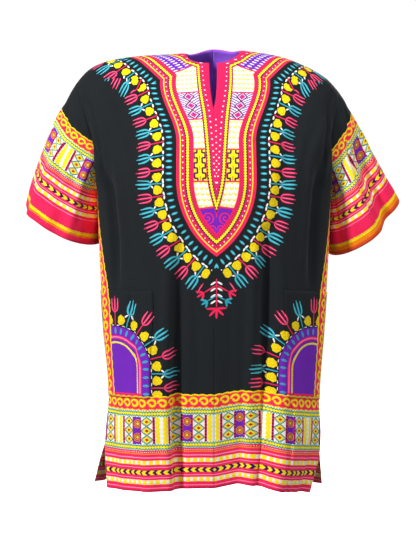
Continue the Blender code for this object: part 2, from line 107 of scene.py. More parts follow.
@dataclass(frozen=True)
class Stretch:
    """A stretch of the lower body between two named heights, with its rows of points."""

    foot: float
    top: float
    rows: int


@dataclass(frozen=True)
class VentSpread:
    """How far a panel's edges stand off the side seams' lines at the hem, below the vents."""

    left_out: float
    right_out: float
    back: float
    left_up: float
    right_up: float


@dataclass(frozen=True)
class Armhole:
    """Handles of the armhole's curve, as steps from the armpit and from the shoulder's end."""

    low_out: float
    low_y: float
    low_z: float
    high_out: float
    high_y: float
    high_z: float


@dataclass(frozen=True)
class Drape:
    """Handles of a panel's centre and shoulder columns."""

    neck_rise: float
    rise: float
    neck_y: float
    neck_z: float
    shoulder_y: float
    shoulder_z: float


@dataclass(frozen=True)
class Fold:
    """A soft fold of a body panel. Its lift is outward, or inward where it is below nought."""

    panel: Panel
    top: float
    foot: float
    across_top: float
    across_foot: float
    half_width: float
    lift: float
    flat: float
    reaches_hem: bool


@dataclass(frozen=True)
class Cuff:
    """A sleeve's cuff: its middle, the steps to its outer and front points, and the sleeve's handles."""

    middle: tuple[float, float, float]
    outer: tuple[float, float, float]
    front: tuple[float, float, float]
    armhole_reach: float
    cuff_reach: float


@dataclass(frozen=True)
class SleeveFold:
    """A soft fold of a sleeve, by shares of the way round from the underarm, up the front and over."""

    side: Side
    around_armhole: float
    around_cuff: float
    half_width: float
    start: float
    end: float
    lift: float


@dataclass(frozen=True)
class Crease:
    """A finer crease placed along points of the flat cut, in millimetres.

    A lift above nought is a ridge and below nought a trough.
    """

    path: tuple[Vec2, ...]
    half_width: float
    lift: float


HEM_Z = -748.0
VENT_TOP_Z = -672.0
POCKET_FOOT_Z = -589.0
POCKET_TOP_Z = -408.0
ARMPIT_Z = -240.0

SECTIONS = (
    Section(HEM_Z, 189, 181, -6, 187, 166, -96, 192, 184, 116),
    Section(-672, 190, 182, -4, 191, 184, -104, 192, 185, 112),
    Section(-590, 182, 180, -2, 184, 182, -114, 184, 182, 108),
    Section(-470, 188, 184, 0, 193, 190, -126, 191, 187, 106),
    Section(-360, 188, 186, 3, 199, 197, -134, 191, 189, 112),
    Section(ARMPIT_Z, 181, 179, 6, 203, 201, -138, 188, 186, 122),
)
STRETCHES = (
    Stretch(HEM_Z, VENT_TOP_Z, 4),
    Stretch(VENT_TOP_Z, POCKET_FOOT_Z, 3),
    Stretch(POCKET_FOOT_Z, POCKET_TOP_Z, 7),
    Stretch(POCKET_TOP_Z, ARMPIT_Z, 6),
)
DROOPS = {
    Panel.FRONT: ((-280, 2), (-180, 5), (-90, 4), (0, 2), (52, -6), (95, -3), (145, 5), (190, 9), (280, 13)),
    Panel.BACK: ((-280, 2), (-60, 3), (90, 1), (280, 13)),
}
VENT_SPREADS = {
    Panel.FRONT: VentSpread(-4, -16, -14, 0, 0),
    Panel.BACK: VentSpread(22, 8, 20, 4, 11),
}
SHOULDER_LINES = {
    Side.LEFT: ((50, 5), (90, 3), (135, 0), (179, -7), (207, -16), (227, -30), (243, -49)),
    Side.RIGHT: ((50, 10), (90, 5), (125, -3), (155, -15), (182, -29), (202, -44), (218, -63)),
}
ARMHOLES = {
    Panel.FRONT: Armhole(12, -84, 40, -4, -48, -12),
    Panel.BACK: Armhole(8, 76, 40, -4, 50, -12),
}
DRAPES = {
    Panel.FRONT: Drape(100, 88, -58, 2, -52, -4),
    Panel.BACK: Drape(168, 104, 70, 62, 56, -4),
}
FOLDS = (
    Fold(Panel.FRONT, -330, HEM_Z, -2, -3, 84, -20, 0.6, True),
    Fold(Panel.FRONT, -300, HEM_Z, -112, -128, 44, 13, 0.0, True),
    Fold(Panel.FRONT, -340, HEM_Z, 118, 134, 46, 15, 0.0, True),
    Fold(Panel.FRONT, -95, -430, -186, -180, 34, -6, 0.0, False),
    Fold(Panel.FRONT, -95, -450, 182, 176, 34, -6, 0.0, False),
    Fold(Panel.FRONT, -520, HEM_Z, -206, -216, 36, -7, 0.0, True),
    Fold(Panel.FRONT, -560, HEM_Z, 204, 214, 36, -8, 0.0, True),
    Fold(Panel.BACK, -180, HEM_Z, -58, -74, 44, -13, 0.0, True),
    Fold(Panel.BACK, -210, HEM_Z, 66, 58, 46, -15, 0.0, True),
    Fold(Panel.BACK, -300, HEM_Z, -4, -10, 40, 8, 0.0, True),
    Fold(Panel.BACK, -90, -420, -186, -176, 36, -6, 0.0, False),
    Fold(Panel.BACK, -90, -440, 182, 174, 36, -7, 0.0, False),
    Fold(Panel.BACK, -430, HEM_Z, -168, -182, 44, 11, 0.0, True),
    Fold(Panel.BACK, -400, HEM_Z, 160, 176, 44, 12, 0.0, True),
)
CUFFS = {
    Side.LEFT: Cuff((-262, 26, -287), (-66, -4, 35), (-14, -74, -26), 54, 60),
    Side.RIGHT: Cuff((260, 26, -294), (63, -4, 47), (12, -72, -28), 50, 60),
}
SLEEVE_FOLDS = (
    SleeveFold(Side.LEFT, 0.40, 0.37, 0.055, 0.25, 1.0, 9),
    SleeveFold(Side.LEFT, 0.5, 0.5, 0.1, 0.2, 0.8, 5),
    SleeveFold(Side.LEFT, 0.27, 0.25, 0.05, 0.05, 0.9, -7),
    SleeveFold(Side.LEFT, 0.66, 0.70, 0.06, 0.1, 1.0, -9),
    SleeveFold(Side.RIGHT, 0.38, 0.36, 0.09, 0.2, 1.0, -23),
    SleeveFold(Side.RIGHT, 0.5, 0.5, 0.09, 0.05, 0.7, -6),
    SleeveFold(Side.RIGHT, 0.26, 0.24, 0.06, 0.3, 1.0, 6),
    SleeveFold(Side.RIGHT, 0.68, 0.66, 0.06, 0.1, 1.0, -9),
)
CREASES = {
    "front": (
        Crease(((-54, 455), (-59, 380), (-62, 250), (-64, 120), (-61, -20)), 17, -14.0),
        Crease(((-76, 455), (-82, 380), (-85, 250), (-87, 120), (-84, -20)), 14, 5.0),
        Crease(((92, 450), (88, 330), (85, 200), (82, 90), (80, -20)), 19, -18.0),
        Crease(((66, 440), (63, 300), (59, 120), (57, -20)), 14, 5.0),
        Crease(((-150, 345), (-142, 270), (-136, 160), (-134, -20)), 8, -4.5),
        Crease(((136, 250), (135, 150), (134, -20)), 8, -4.5),
        Crease(((-8, 300), (-4, 180), (0, -20)), 26, 3.0),
        Crease(((112, 420), (118, 300), (116, 150), (112, -20)), 13, 3.0),
        Crease(((-222, 600), (-196, 520), (-184, 430), (-178, 340)), 14, -9.0),
        Crease(((-205, 640), (-176, 560), (-164, 450), (-160, 380)), 15, 4.5),
        Crease(((214, 620), (192, 530), (182, 440), (176, 340)), 14, -9.0),
        Crease(((200, 640), (172, 560), (162, 450), (160, 380)), 15, 4.5),
        Crease(((-240, 690), (-219, 653), (-204, 590), (-202, 540)), 8, -4.0),
        Crease(((226, 700), (210, 668), (203, 600), (203, 540)), 8, -4.0),
        Crease(((-185, 700), (-150, 600), (-120, 520), (-104, 430)), 20, -5.0),
        Crease(((170, 700), (140, 600), (118, 520), (104, 430)), 20, -5.0),
        Crease(((-34, 330), (-30, 240), (-32, 150)), 10, -1.8),
        Crease(((24, 330), (28, 240), (26, 130)), 12, -1.8),
    ),
    "back": (
        Crease(((-58, 470), (-64, 330), (-68, 180), (-66, -20)), 12, -6.0),
        Crease(((-120, 430), (-128, 280), (-130, 130), (-128, -20)), 10, -5.0),
        Crease(((66, 480), (62, 330), (58, 180), (60, -20)), 11, -6.0),
        Crease(((128, 420), (134, 280), (134, 130), (130, -20)), 10, -5.0),
        Crease(((0, 360), (4, 200), (0, -20)), 24, 3.0),
        Crease(((-216, 620), (-190, 530), (-180, 430), (-176, 330)), 12, -5.0),
        Crease(((212, 620), (188, 530), (180, 430), (176, 330)), 12, -5.0),
        Crease(((-170, 700), (-120, 640), (-60, 610), (0, 600)), 16, -2.5),
        Crease(((170, 700), (120, 650), (60, 618), (0, 604)), 16, -2.5),
        Crease(((-236, 690), (-214, 650), (-202, 590)), 8, -4.0),
        Crease(((226, 695), (208, 650), (200, 590)), 8, -4.0),
    ),
    "sleeve_left": (
        Crease(((214, 192), (182, 160), (160, 146), (151, 114), (136, 86), (124, 40)), 8, -6.0),
        Crease(((236, 180), (215, 130), (196, 80), (186, 20)), 12, 3.5),
        Crease(((84, 160), (92, 100), (98, 10)), 13, 3.0),
        Crease(((48, 130), (54, 80), (62, 10)), 9, -4.5),
        Crease(((300, 200), (306, 130), (300, 20)), 11, -5.0),
        Crease(((356, 180), (366, 110), (360, 20)), 13, 3.5),
        Crease(((410, 150), (402, 90), (404, 15)), 9, -4.5),
    ),
    "sleeve_right": (
        Crease(((206, 196), (170, 164), (142, 148), (129, 112), (127, 82), (132, 45), (138, 5)), 8, -7.0),
        Crease(((222, 180), (205, 120), (186, 70), (176, 10)), 12, 3.5),
        Crease(((84, 150), (92, 90), (98, 10)), 13, 3.0),
        Crease(((44, 130), (52, 70), (58, 10)), 9, -4.0),
        Crease(((290, 200), (296, 130), (290, 20)), 11, -5.0),
        Crease(((344, 180), (352, 110), (348, 20)), 13, 3.5),
        Crease(((396, 150), (388, 90), (390, 15)), 9, -4.5),
    ),
}


YOKE_AREAS = ((600.0, 1000.0), (345.0, 176.0), (280.0, 60.0))


def ramp(value: np.ndarray | float) -> np.ndarray:
    """A ramp from 0 to 1 with no corner at either end."""
    held = np.clip(value, 0.0, 1.0)
    return held * held * (3.0 - 2.0 * held)


def smooth_through(places: np.ndarray, values: np.ndarray, wanted: np.ndarray | float) -> np.ndarray:
    """Reads a smooth line through a table's values.

    Args:
        places: where the values are known, rising.
        values: the value at each place.
        wanted: the places to read.

    Returns:
        The value at each place wanted.
    """
    slopes = np.gradient(values, places)
    k = np.clip(np.searchsorted(places, wanted) - 1, 0, len(places) - 2)
    span = places[k + 1] - places[k]
    t = (wanted - places[k]) / span
    return (
        (1 + 2 * t) * (1 - t) ** 2 * values[k]
        + t * (1 - t) ** 2 * span * slopes[k]
        + t * t * (3 - 2 * t) * values[k + 1]
        + t * t * (t - 1) * span * slopes[k + 1]
    )


def lengths_along(points: np.ndarray) -> np.ndarray:
    """The distance along a line of points from its first point to each."""
    steps = np.linalg.norm(np.diff(points, axis=0), axis=-1)
    return np.concatenate([np.zeros((1,) + steps.shape[1:]), np.cumsum(steps, axis=0)])


def steps_along(points: np.ndarray, shares: np.ndarray) -> np.ndarray:
    """Points at the given shares of a line's length."""
    along = lengths_along(points)
    return np.stack([np.interp(shares * along[-1], along, points[:, k]) for k in range(3)], axis=1)


def net_normals(points: np.ndarray) -> np.ndarray:
    """Unit normals of a net of points, by the directions of its rows and columns."""
    normals = np.cross(np.gradient(points, axis=1), np.gradient(points, axis=0))
    return normals / np.linalg.norm(normals, axis=2, keepdims=True)


def refined(
    points: np.ndarray,
    steps: int,
    before: np.ndarray | None = None,
    after: np.ndarray | None = None,
) -> np.ndarray:
    """Adds smooth points between the rows of a net, whose own rows keep their place.

    Args:
        points: the net, rows first.
        steps: how many rows each row becomes.
        before: the row that the net would have before its first one, for the curve's direction there.
        after: the same past its last one.

    Returns:
        The finer net, its last row included.
    """
    first = 2 * points[0] - points[1] if before is None else before
    last = 2 * points[-1] - points[-2] if after is None else after
    held = np.concatenate([first[None], points, last[None]])
    t = (np.arange(steps) / steps).reshape((1, steps) + (1,) * (points.ndim - 1))
    p0, p1, p2, p3 = (held[k : len(held) - 3 + k][:, None] for k in range(4))
    made = 0.5 * (
        2 * p1
        + (p2 - p0) * t
        + (2 * p0 - 5 * p1 + 4 * p2 - p3) * t**2
        + (3 * p1 - p0 - 3 * p2 + p3) * t**3
    )
    return np.concatenate([made.reshape((-1,) + points.shape[1:]), points[-1:]])


@dataclass
class BodyForm:
    """The worn form of the body, in millimetres, as a coarse net of points for each half of each panel.

    A net's rows go from the hem up, and its columns from the centre out to the side seam and the armhole.
    """

    half_width: float = 280.0
    neck_half_width: float = 50.0
    neck_point_y: float = 5.0
    neck_shift: float = -3.5
    neck_depths: dict[Panel, float] = field(default_factory=lambda: {Panel.FRONT: 50.0, Panel.BACK: 53.0})
    crest_rise: float = 3.0
    slit_half_width: float = 6.5
    hem_spread: float = 0.07
    columns: int = 18
    neck_column: int = 5
    upper_rows: int = 12
    slit_row: int = 7
    neck_fade: float = 1.6
    side_fade: float = 5.0
    top_fade: float = 4.0
    fold_fade: float = 2.5
    section_steps: int = 200
    seam_steps: int = 120
    column_steps: int = 240

    @property
    def lower_rows(self) -> int:
        """How many rows of cloth lie between the hem and the armpit."""
        return sum(stretch.rows for stretch in STRETCHES)

    @property
    def slit_foot(self) -> int:
        """The row where the neck slit ends."""
        return self.lower_rows + self.slit_row

    def lower_heights(self) -> np.ndarray:
        """The heights of the rows from the hem to the armpit."""
        heights = [HEM_Z]
        for stretch in STRETCHES:
            heights.extend(np.linspace(stretch.foot, stretch.top, stretch.rows + 1)[1:])
        return np.array(heights)

    def section_value(self, name: str, z: float) -> float:
        """One size of the level sections at height z."""
        heights = np.array([row.z for row in SECTIONS], float)
        values = np.array([getattr(row, name) for row in SECTIONS], float)
        return float(smooth_through(heights, values, z))

    def side_edge(self, panel: Panel, side: Side, z: float) -> tuple[float, float, float]:
        """Where a panel ends at its side edge, and its rise there.

        Args:
            panel: the panel.
            side: the side of the picture.
            z: the height.

        Returns:
            The half width and depth of the edge, and how much its cloth rises.
        """
        x = self.section_value("side_" + side.word, z)
        y = self.section_value("side_y", z)
        share = max(0.0, (VENT_TOP_Z - z) / (VENT_TOP_Z - HEM_Z))
        spread = VENT_SPREADS[panel]
        x += getattr(spread, side.word + "_out") * share**0.9
        y += spread.back * share**1.2
        return x, y, getattr(spread, side.word + "_up") * share

    def section_curve(self, panel: Panel, side: Side, z: float) -> np.ndarray:
        """A level section of a panel from its centre to its side edge."""
        edge_x, edge_y, _ = self.side_edge(panel, side, z)
        widest = max(self.section_value(f"{panel.value}_{side.word}", z), edge_x + 0.5)
        middle_y = self.section_value(panel.value + "_y", z)
        turn = np.pi - np.arcsin(edge_x / widest)
        reach = (middle_y - edge_y) / (1.0 - np.cos(turn))
        angles = np.linspace(0.0, turn, self.section_steps)
        across = side.value * widest * np.sin(angles)
        return np.stack([across, middle_y - reach * (1.0 - np.cos(angles)), np.full_like(angles, z)], axis=1)

    def drop_at(self, panel: Panel, across: np.ndarray, z: float) -> np.ndarray:
        """How much lower than level a panel hangs at places across it."""
        places, drops = zip(*DROOPS[panel])
        fade = ramp((ARMPIT_Z - z) / (ARMPIT_Z - VENT_TOP_Z))
        return np.interp(across, places, drops) * fade

    def lower_row(self, panel: Panel, side: Side, z: float) -> np.ndarray:
        """One row of a panel below the armpit, from its centre to its side edge."""
        shares = np.linspace(0.0, 1.0, self.columns + 1)
        spread = self.hem_spread * ramp((POCKET_TOP_Z - z) / (POCKET_TOP_Z - POCKET_FOOT_Z))
        row = steps_along(self.section_curve(panel, side, z), shares + spread * np.sin(np.pi * shares))
        across = shares * side.value * self.half_width
        row[:, 2] += self.side_edge(panel, side, z)[2] * shares**3 - self.drop_at(panel, across, z)
        return row

    def top_row(self, side: Side) -> np.ndarray:
        """The line that the columns rise to: across the open neck, then along the shoulder seam."""
        out, z = (np.array(v, float) for v in zip(*SHOULDER_LINES[side]))
        fine = np.linspace(out[0], out[-1], self.seam_steps)
        y = np.full_like(fine, self.neck_point_y)
        curve = np.stack([side.value * fine, y, smooth_through(out, z, fine)], axis=1)
        seam = steps_along(curve, np.linspace(0.0, 1.0, self.columns - self.neck_column + 1))
        middle = np.mean([line[0][1] for line in SHOULDER_LINES.values()]) + self.crest_rise
        share = np.linspace(0.0, 1.0, self.neck_column + 1)
        heights = middle + (z[0] - middle) * ramp(share)
        depth = np.full_like(share, self.neck_point_y)
        crest = np.stack([side.value * self.neck_half_width * share, depth, heights], axis=1)
        return np.concatenate([crest, seam[1:]])

    def cut_at_neck(self, panel: Panel, curve: np.ndarray) -> np.ndarray:
        """The part of a rising curve that lies outside the neckline, seen from above."""
        x = (curve[:, 0] - self.neck_shift) / self.neck_half_width
        y = (curve[:, 1] - self.neck_point_y) / self.neck_depths[panel]
        return curve[: int(np.argmax(x * x + y * y <= 1.0)) + 1]

    def upper_rows_of(self, panel: Panel, side: Side, armpit_row: np.ndarray) -> np.ndarray:
        """The rows from the armpit up. Each column curves up to the shoulder, cut off at the neckline."""
        top = self.top_row(side)
        drape, armhole = DRAPES[panel], ARMHOLES[panel]
        columns = np.linspace(0.0, 1.0, self.columns + 1)
        toward_edge = ramp((columns - 0.5) / 0.5)[:, None]
        past_neck = ramp(columns * self.columns / (self.neck_fade * self.neck_column))[:, None]
        low_middle = (1 - past_neck) * np.array([0.0, 0.0, drape.neck_rise])
        low_middle = low_middle + past_neck * np.array([0.0, 0.0, drape.rise])
        low_edge = np.array([side.value * armhole.low_out, armhole.low_y, armhole.low_z])
        high_middle = (1 - past_neck) * np.array([0.0, drape.neck_y, drape.neck_z])
        high_middle = high_middle + past_neck * np.array([0.0, drape.shoulder_y, drape.shoulder_z])
        high_edge = np.array([side.value * armhole.high_out, armhole.high_y, armhole.high_z])
        low = armpit_row + (1 - toward_edge) * low_middle + toward_edge * low_edge
        high = top + (1 - toward_edge) * high_middle + toward_edge * high_edge
        t = np.linspace(0.0, 1.0, self.column_steps)[:, None]
        found = []
        for c in range(self.columns + 1):
            curve = (
                (1 - t) ** 3 * armpit_row[c]
                + 3 * t * (1 - t) ** 2 * low[c]
                + 3 * t * t * (1 - t) * high[c]
                + t**3 * top[c]
            )
            curve[:, 0] += self.neck_shift * (1.0 - columns[c]) * ramp(t[:, 0])
            if c < self.neck_column:
                curve = self.cut_at_neck(panel, curve)
            found.append(steps_along(curve, np.linspace(0.0, 1.0, self.upper_rows + 1)))
        return np.array(found).transpose(1, 0, 2)

    def half(self, panel: Panel, side: Side) -> np.ndarray:
        """One half of a panel with its folds. Seams and the armhole keep their place."""
        lower = [self.lower_row(panel, side, z) for z in self.lower_heights()]
        points = np.concatenate([np.array(lower), self.upper_rows_of(panel, side, lower[-1])[1:]])
        if panel is Panel.FRONT:
            self.open_slit(points, side)
        outward = net_normals(points) * (side.value if panel is Panel.FRONT else -side.value)
        across = np.linspace(0.0, side.value * self.half_width, self.columns + 1)[None, :]
        lift = self.fold_lift(panel, np.broadcast_to(across, points.shape[:2]), points[:, :, 2])
        held = ramp((1.0 - np.linspace(0.0, 1.0, self.columns + 1)) * self.side_fade)[None, :]
        below_top = ramp(np.arange(len(points))[::-1] / self.top_fade)[:, None]
        return points + outward * (lift * held * below_top)[:, :, None]

    def open_slit(self, points: np.ndarray, side: Side) -> None:
        """Moves the columns beside the centre aside, to open the neck slit of the front."""
        columns = np.arange(self.columns + 1)
        fade = np.clip(1.0 - columns / self.neck_column, 0.0, 1.0)
        for k in range(self.slit_foot + 1, len(points)):
            share = (k - self.slit_foot) / (len(points) - 1 - self.slit_foot)
            points[k][:, 0] += side.value * self.slit_half_width * (1.0 - (1.0 - share) ** 3) * fade

    def fold_lift(self, panel: Panel, across: np.ndarray, z: np.ndarray) -> np.ndarray:
        """How far the cloth stands off its plain form at a distance across the panel and a height."""
        lift = np.zeros(z.shape)
        for fold in FOLDS:
            if fold.panel is not panel:
                continue
            share = (fold.top - z) / (fold.top - fold.foot)
            line = fold.across_top + (fold.across_foot - fold.across_top) * np.clip(share, 0.0, 1.0)
            away = np.abs(across - line) / fold.half_width
            away = np.clip((away - fold.flat) / (1.0 - fold.flat), 0.0, 1.0)
            fading_in = ramp(share * (1.0 if fold.reaches_hem else self.fold_fade))
            fading_out = 1.0 if fold.reaches_hem else ramp((1.0 - share) * self.fold_fade)
            lift += fold.lift * (0.5 + 0.5 * np.cos(np.pi * away)) * fading_in * fading_out
        return lift


@dataclass
class SleeveForm:
    """The worn form of one sleeve: rings of points from the armhole to the cuff.

    Each ring starts at the underarm and goes up the front, over the top and down the back.
    """

    side: Side
    body: BodyForm
    halves: dict[tuple[Panel, Side], np.ndarray]
    rings: int = 9
    cloth: float = 1.5
    clearance: float = 7.0
    underarm_tilt: float = 0.9
    plain_tilt: float = 0.12
    flare: float = 0.2
    handle_share: float = 0.36
    fold_fade: float = 0.3
    beside_body: float = 16.0

    def points(self) -> np.ndarray:
        """The sleeve's rings, with its folds, clear of the body."""
        first = self.body.lower_rows
        up = self.halves[Panel.FRONT, self.side][first:, -1]
        down = self.halves[Panel.BACK, self.side][first:, -1][::-1]
        armhole = np.concatenate([up, down[1:-1]])
        around = np.arange(len(armhole)) / len(armhole)
        angle = np.pi * (1.0 - 2.0 * around)
        cuff = CUFFS[self.side]
        middle, outer, front = (np.array(v, float) for v in (cuff.middle, cuff.outer, cuff.front))
        end = middle + np.cos(angle)[:, None] * outer + np.sin(angle)[:, None] * front
        axis = middle - armhole.mean(axis=0)
        axis /= np.linalg.norm(axis)
        spread = armhole - armhole.mean(axis=0)
        spread /= np.linalg.norm(spread, axis=1, keepdims=True)
        heights = armhole[:, 2]
        lowness = ramp((heights.mean() - heights) / (heights.mean() - heights.min()))[:, None]
        outward = np.array([self.side.value, 0.0, 0.0])
        away = axis + self.flare * spread + (self.plain_tilt + self.underarm_tilt * lowness) * outward
        away /= np.linalg.norm(away, axis=1, keepdims=True)
        length = np.linalg.norm(end - armhole, axis=1, keepdims=True)
        start_handle = armhole + away * np.minimum(cuff.armhole_reach, self.handle_share * length)
        end_handle = end - axis * np.minimum(cuff.cuff_reach, self.handle_share * length)
        t = np.linspace(0.0, 1.0, self.rings + 1)[:, None, None]
        rings = (
            (1 - t) ** 3 * armhole
            + 3 * t * (1 - t) ** 2 * start_handle
            + 3 * t * t * (1 - t) * end_handle
            + t**3 * end
        )
        rings += self.normals(rings) * self.fold_lift(around)[:, :, None]
        return self.clear_of_body(rings)

    def normals(self, rings: np.ndarray) -> np.ndarray:
        """Outward unit normals of closed rings."""
        across = np.roll(rings, -1, axis=1) - np.roll(rings, 1, axis=1)
        normals = np.cross(np.gradient(rings, axis=0), across) * self.side.value
        return normals / np.linalg.norm(normals, axis=2, keepdims=True)

    def fold_lift(self, around: np.ndarray) -> np.ndarray:
        """How far each point of the rings stands off the plain tube."""
        t = np.linspace(0.0, 1.0, self.rings + 1)[:, None]
        lift = np.zeros((self.rings + 1, len(around)))
        for fold in SLEEVE_FOLDS:
            if fold.side is not self.side:
                continue
            line = fold.around_armhole + (fold.around_cuff - fold.around_armhole) * t
            away = np.clip(np.abs(around[None, :] - line) / fold.half_width, 0.0, 1.0)
            fade = self.fold_fade
            strength = ramp((t - fold.start) / fade) * ramp((fold.end + fade - t) / fade)
            lift += fold.lift * (0.5 + 0.5 * np.cos(np.pi * away)) * strength
        return lift

    def clear_of_body(self, rings: np.ndarray) -> np.ndarray:
        """Moves the sleeve's underside out where it would rest on the body."""
        places, directions = [], []
        armpit = self.body.lower_rows
        for panel, sign in ((Panel.FRONT, self.side.value), (Panel.BACK, -self.side.value)):
            points = self.halves[panel, self.side]
            for net, found in ((points, places), (net_normals(points) * sign, directions)):
                found.append(net[:armpit].reshape(-1, 3))
                found.append(net[armpit:, :-1].reshape(-1, 3))
        near, outward = np.concatenate(places), np.concatenate(directions)
        for k, ring in enumerate(rings[1:], start=1):
            gap = self.cloth + 1.0 + self.clearance * np.sqrt(k / self.rings)
            for point in ring:
                nearest = np.argmin(np.linalg.norm(near - point, axis=1))
                step = point - near[nearest]
                height = float(step @ outward[nearest])
                beside = np.linalg.norm(step - height * outward[nearest])
                if beside < self.beside_body and height < gap:
                    point += outward[nearest] * (gap - height)
        return rings


# Cloth made of fine nets


@dataclass
class Net:
    """A fine net of cloth: its points and the flat place of each, in millimetres."""

    points: np.ndarray
    flat: np.ndarray

    def creased(self, piece: str, outward: float) -> Net:
        """The net with the listed creases of a piece.

        Args:
            piece: the piece's name.
            outward: 1 or -1, so that the net's normals point outward.

        Returns:
            A net with its points moved.
        """
        lift = np.zeros(self.points.shape[:2])
        for crease in CREASES[piece]:
            lift += crease_lift(crease, self.flat)
        moved = self.points + net_normals(self.points) * outward * lift[:, :, None]
        return Net(moved, self.flat)


def crease_lift(crease: Crease, flat: np.ndarray) -> np.ndarray:
    """How far a crease lifts the cloth at each flat place. It fades toward both of its ends."""
    path = np.array(crease.path, float)
    along = lengths_along(path)
    best = np.full(flat.shape[:2], np.inf)
    where = np.zeros(flat.shape[:2])
    for k in range(len(path) - 1):
        step = path[k + 1] - path[k]
        share = np.clip(((flat - path[k]) @ step) / (step @ step), 0.0, 1.0)
        away = np.linalg.norm(flat - path[k] - share[:, :, None] * step, axis=2)
        nearer = away < best
        best = np.where(nearer, away, best)
        where = np.where(nearer, along[k] + share * (along[k + 1] - along[k]), where)
    share = where / along[-1]
    fade = np.sqrt(np.clip(1.0 - np.abs(2.0 * share - 1.0) ** 3, 0.0, 1.0))
    profile = 0.5 + 0.5 * np.cos(np.pi * np.clip(best / crease.half_width, 0.0, 1.0))
    return crease.lift * profile * fade


@dataclass
class Cloth:
    """Cuts the fine nets of the body panels and the sleeves from the worn forms."""

    body: BodyForm = field(default_factory=BodyForm)
    fineness: int = 4
    wall: float = 0.9
    flattening_rounds: int = 1500
    flattening_step: float = 1.6
    nets: dict[tuple[Panel, Side], Net] = field(default_factory=dict)
    coarse: dict[tuple[Panel, Side], np.ndarray] = field(default_factory=dict)

    def __post_init__(self) -> None:
        """Works out both panels."""
        self.coarse = {(panel, side): self.body.half(panel, side) for panel in Panel for side in Side}
        for panel in Panel:
            self.cut_panel(panel)
        self.join_seams()

    def cut_panel(self, panel: Panel) -> None:
        """Makes the two fine nets of a panel."""
        halves = {side: self.coarse[panel, side].copy() for side in Side}
        last = self.body.slit_foot if panel is Panel.FRONT else len(halves[Side.LEFT]) - 1
        middle = (halves[Side.LEFT][: last + 1, 0] + halves[Side.RIGHT][: last + 1, 0]) / 2
        for net in halves.values():
            net[: last + 1, 0] = middle
        for side in Side:
            own, other = halves[side], halves[Side(-side.value)]
            past_centre = other[:, 1] + own[:, 0] - other[:, 0]
            across = refined(own.transpose(1, 0, 2), self.fineness, before=past_centre)
            points = refined(across.transpose(1, 0, 2), self.fineness)
            flat = self.flat_places(own, side)
            past_flat = flat[:, 1] * np.array([-1.0, 1.0])
            flat = refined(flat.transpose(1, 0, 2), self.fineness, before=past_flat)
            self.nets[panel, side] = Net(points, refined(flat.transpose(1, 0, 2), self.fineness))

    def flat_places(self, net: np.ndarray, side: Side) -> np.ndarray:
        """The place of each point of a coarse half in its flat cut.

        Below the armpit the cloth is a level tube. Above it the places are found by letting every edge and
        diagonal of the net pull or push until it has its own length, with the centre line and the armpit's
        row held.

        Args:
            net: the half's points.
            side: the side of the picture that it is on.

        Returns:
            How far each point is across from the centre, and up from the hem.
        """
        rows = self.body.lower_rows
        flat = np.empty(net.shape[:2] + (2,))
        flat[:, :, 0] = lengths_along(net.transpose(1, 0, 2)).T * side.value
        flat[: rows + 1, :, 1] = (self.body.lower_heights() - HEM_Z)[:, None]
        flat[rows:, :, 1] = flat[rows, 0, 1] + lengths_along(net[rows:])
        form, upper = net[rows:], flat[rows:]
        links = (
            (np.s_[:, :-1], np.s_[:, 1:]),
            (np.s_[:-1, :], np.s_[1:, :]),
            (np.s_[:-1, :-1], np.s_[1:, 1:]),
            (np.s_[:-1, 1:], np.s_[1:, :-1]),
        )
        armpit_row = upper[0].copy()
        for _ in range(self.flattening_rounds):
            move, weight = np.zeros_like(upper), np.zeros(upper.shape[:2] + (1,))
            for first, second in links:
                wanted = np.linalg.norm(form[second] - form[first], axis=2, keepdims=True)
                step = upper[second] - upper[first]
                length = np.linalg.norm(step, axis=2, keepdims=True)
                pull = 0.5 * step * (1.0 - wanted / length)
                move[first] += pull
                move[second] -= pull
                weight[first] += 1.0
                weight[second] += 1.0
            upper += self.flattening_step * move / weight
            upper[0] = armpit_row
            upper[:, 0, 0] = 0.0
        return flat

    def join_seams(self) -> None:
        """Gives both panels the same points along the shoulder and side seams."""
        neck = self.body.neck_column * self.fineness
        vent = STRETCHES[0].rows * self.fineness
        armpit = self.body.lower_rows * self.fineness
        for side in Side:
            front, back = self.nets[Panel.FRONT, side].points, self.nets[Panel.BACK, side].points
            shoulder = (front[-1, neck:] + back[-1, neck:]) / 2
            front[-1, neck:] = back[-1, neck:] = shoulder
            seam = (front[vent : armpit + 1, -1] + back[vent : armpit + 1, -1]) / 2
            front[vent : armpit + 1, -1] = back[vent : armpit + 1, -1] = seam

    def sleeve(self, side: Side) -> Net:
        """The fine net of a sleeve, its rings first. The last point of each ring repeats the first."""
        rings = SleeveForm(side, self.body, self.coarse).points()
        closed = np.concatenate([rings, rings[:, :1]], axis=1)
        around = refined(
            closed.transpose(1, 0, 2), self.fineness, before=rings[:, -1], after=rings[:, 1]
        ).transpose(1, 0, 2)
        armpit = self.body.lower_rows * self.fineness
        up = self.nets[Panel.FRONT, side].points[armpit:, -1]
        down = self.nets[Panel.BACK, side].points[armpit:, -1][::-1]
        around[0] = np.concatenate([up, down[1:]])
        points = refined(around, self.fineness)
        across = lengths_along(points.transpose(1, 0, 2)).T
        width = np.median(across[:, -1])
        share = across / across[:, -1:]
        up_from_cuff = lengths_along(points[::-1])[::-1]
        return Net(points, np.stack([share * width, up_from_cuff], axis=2))


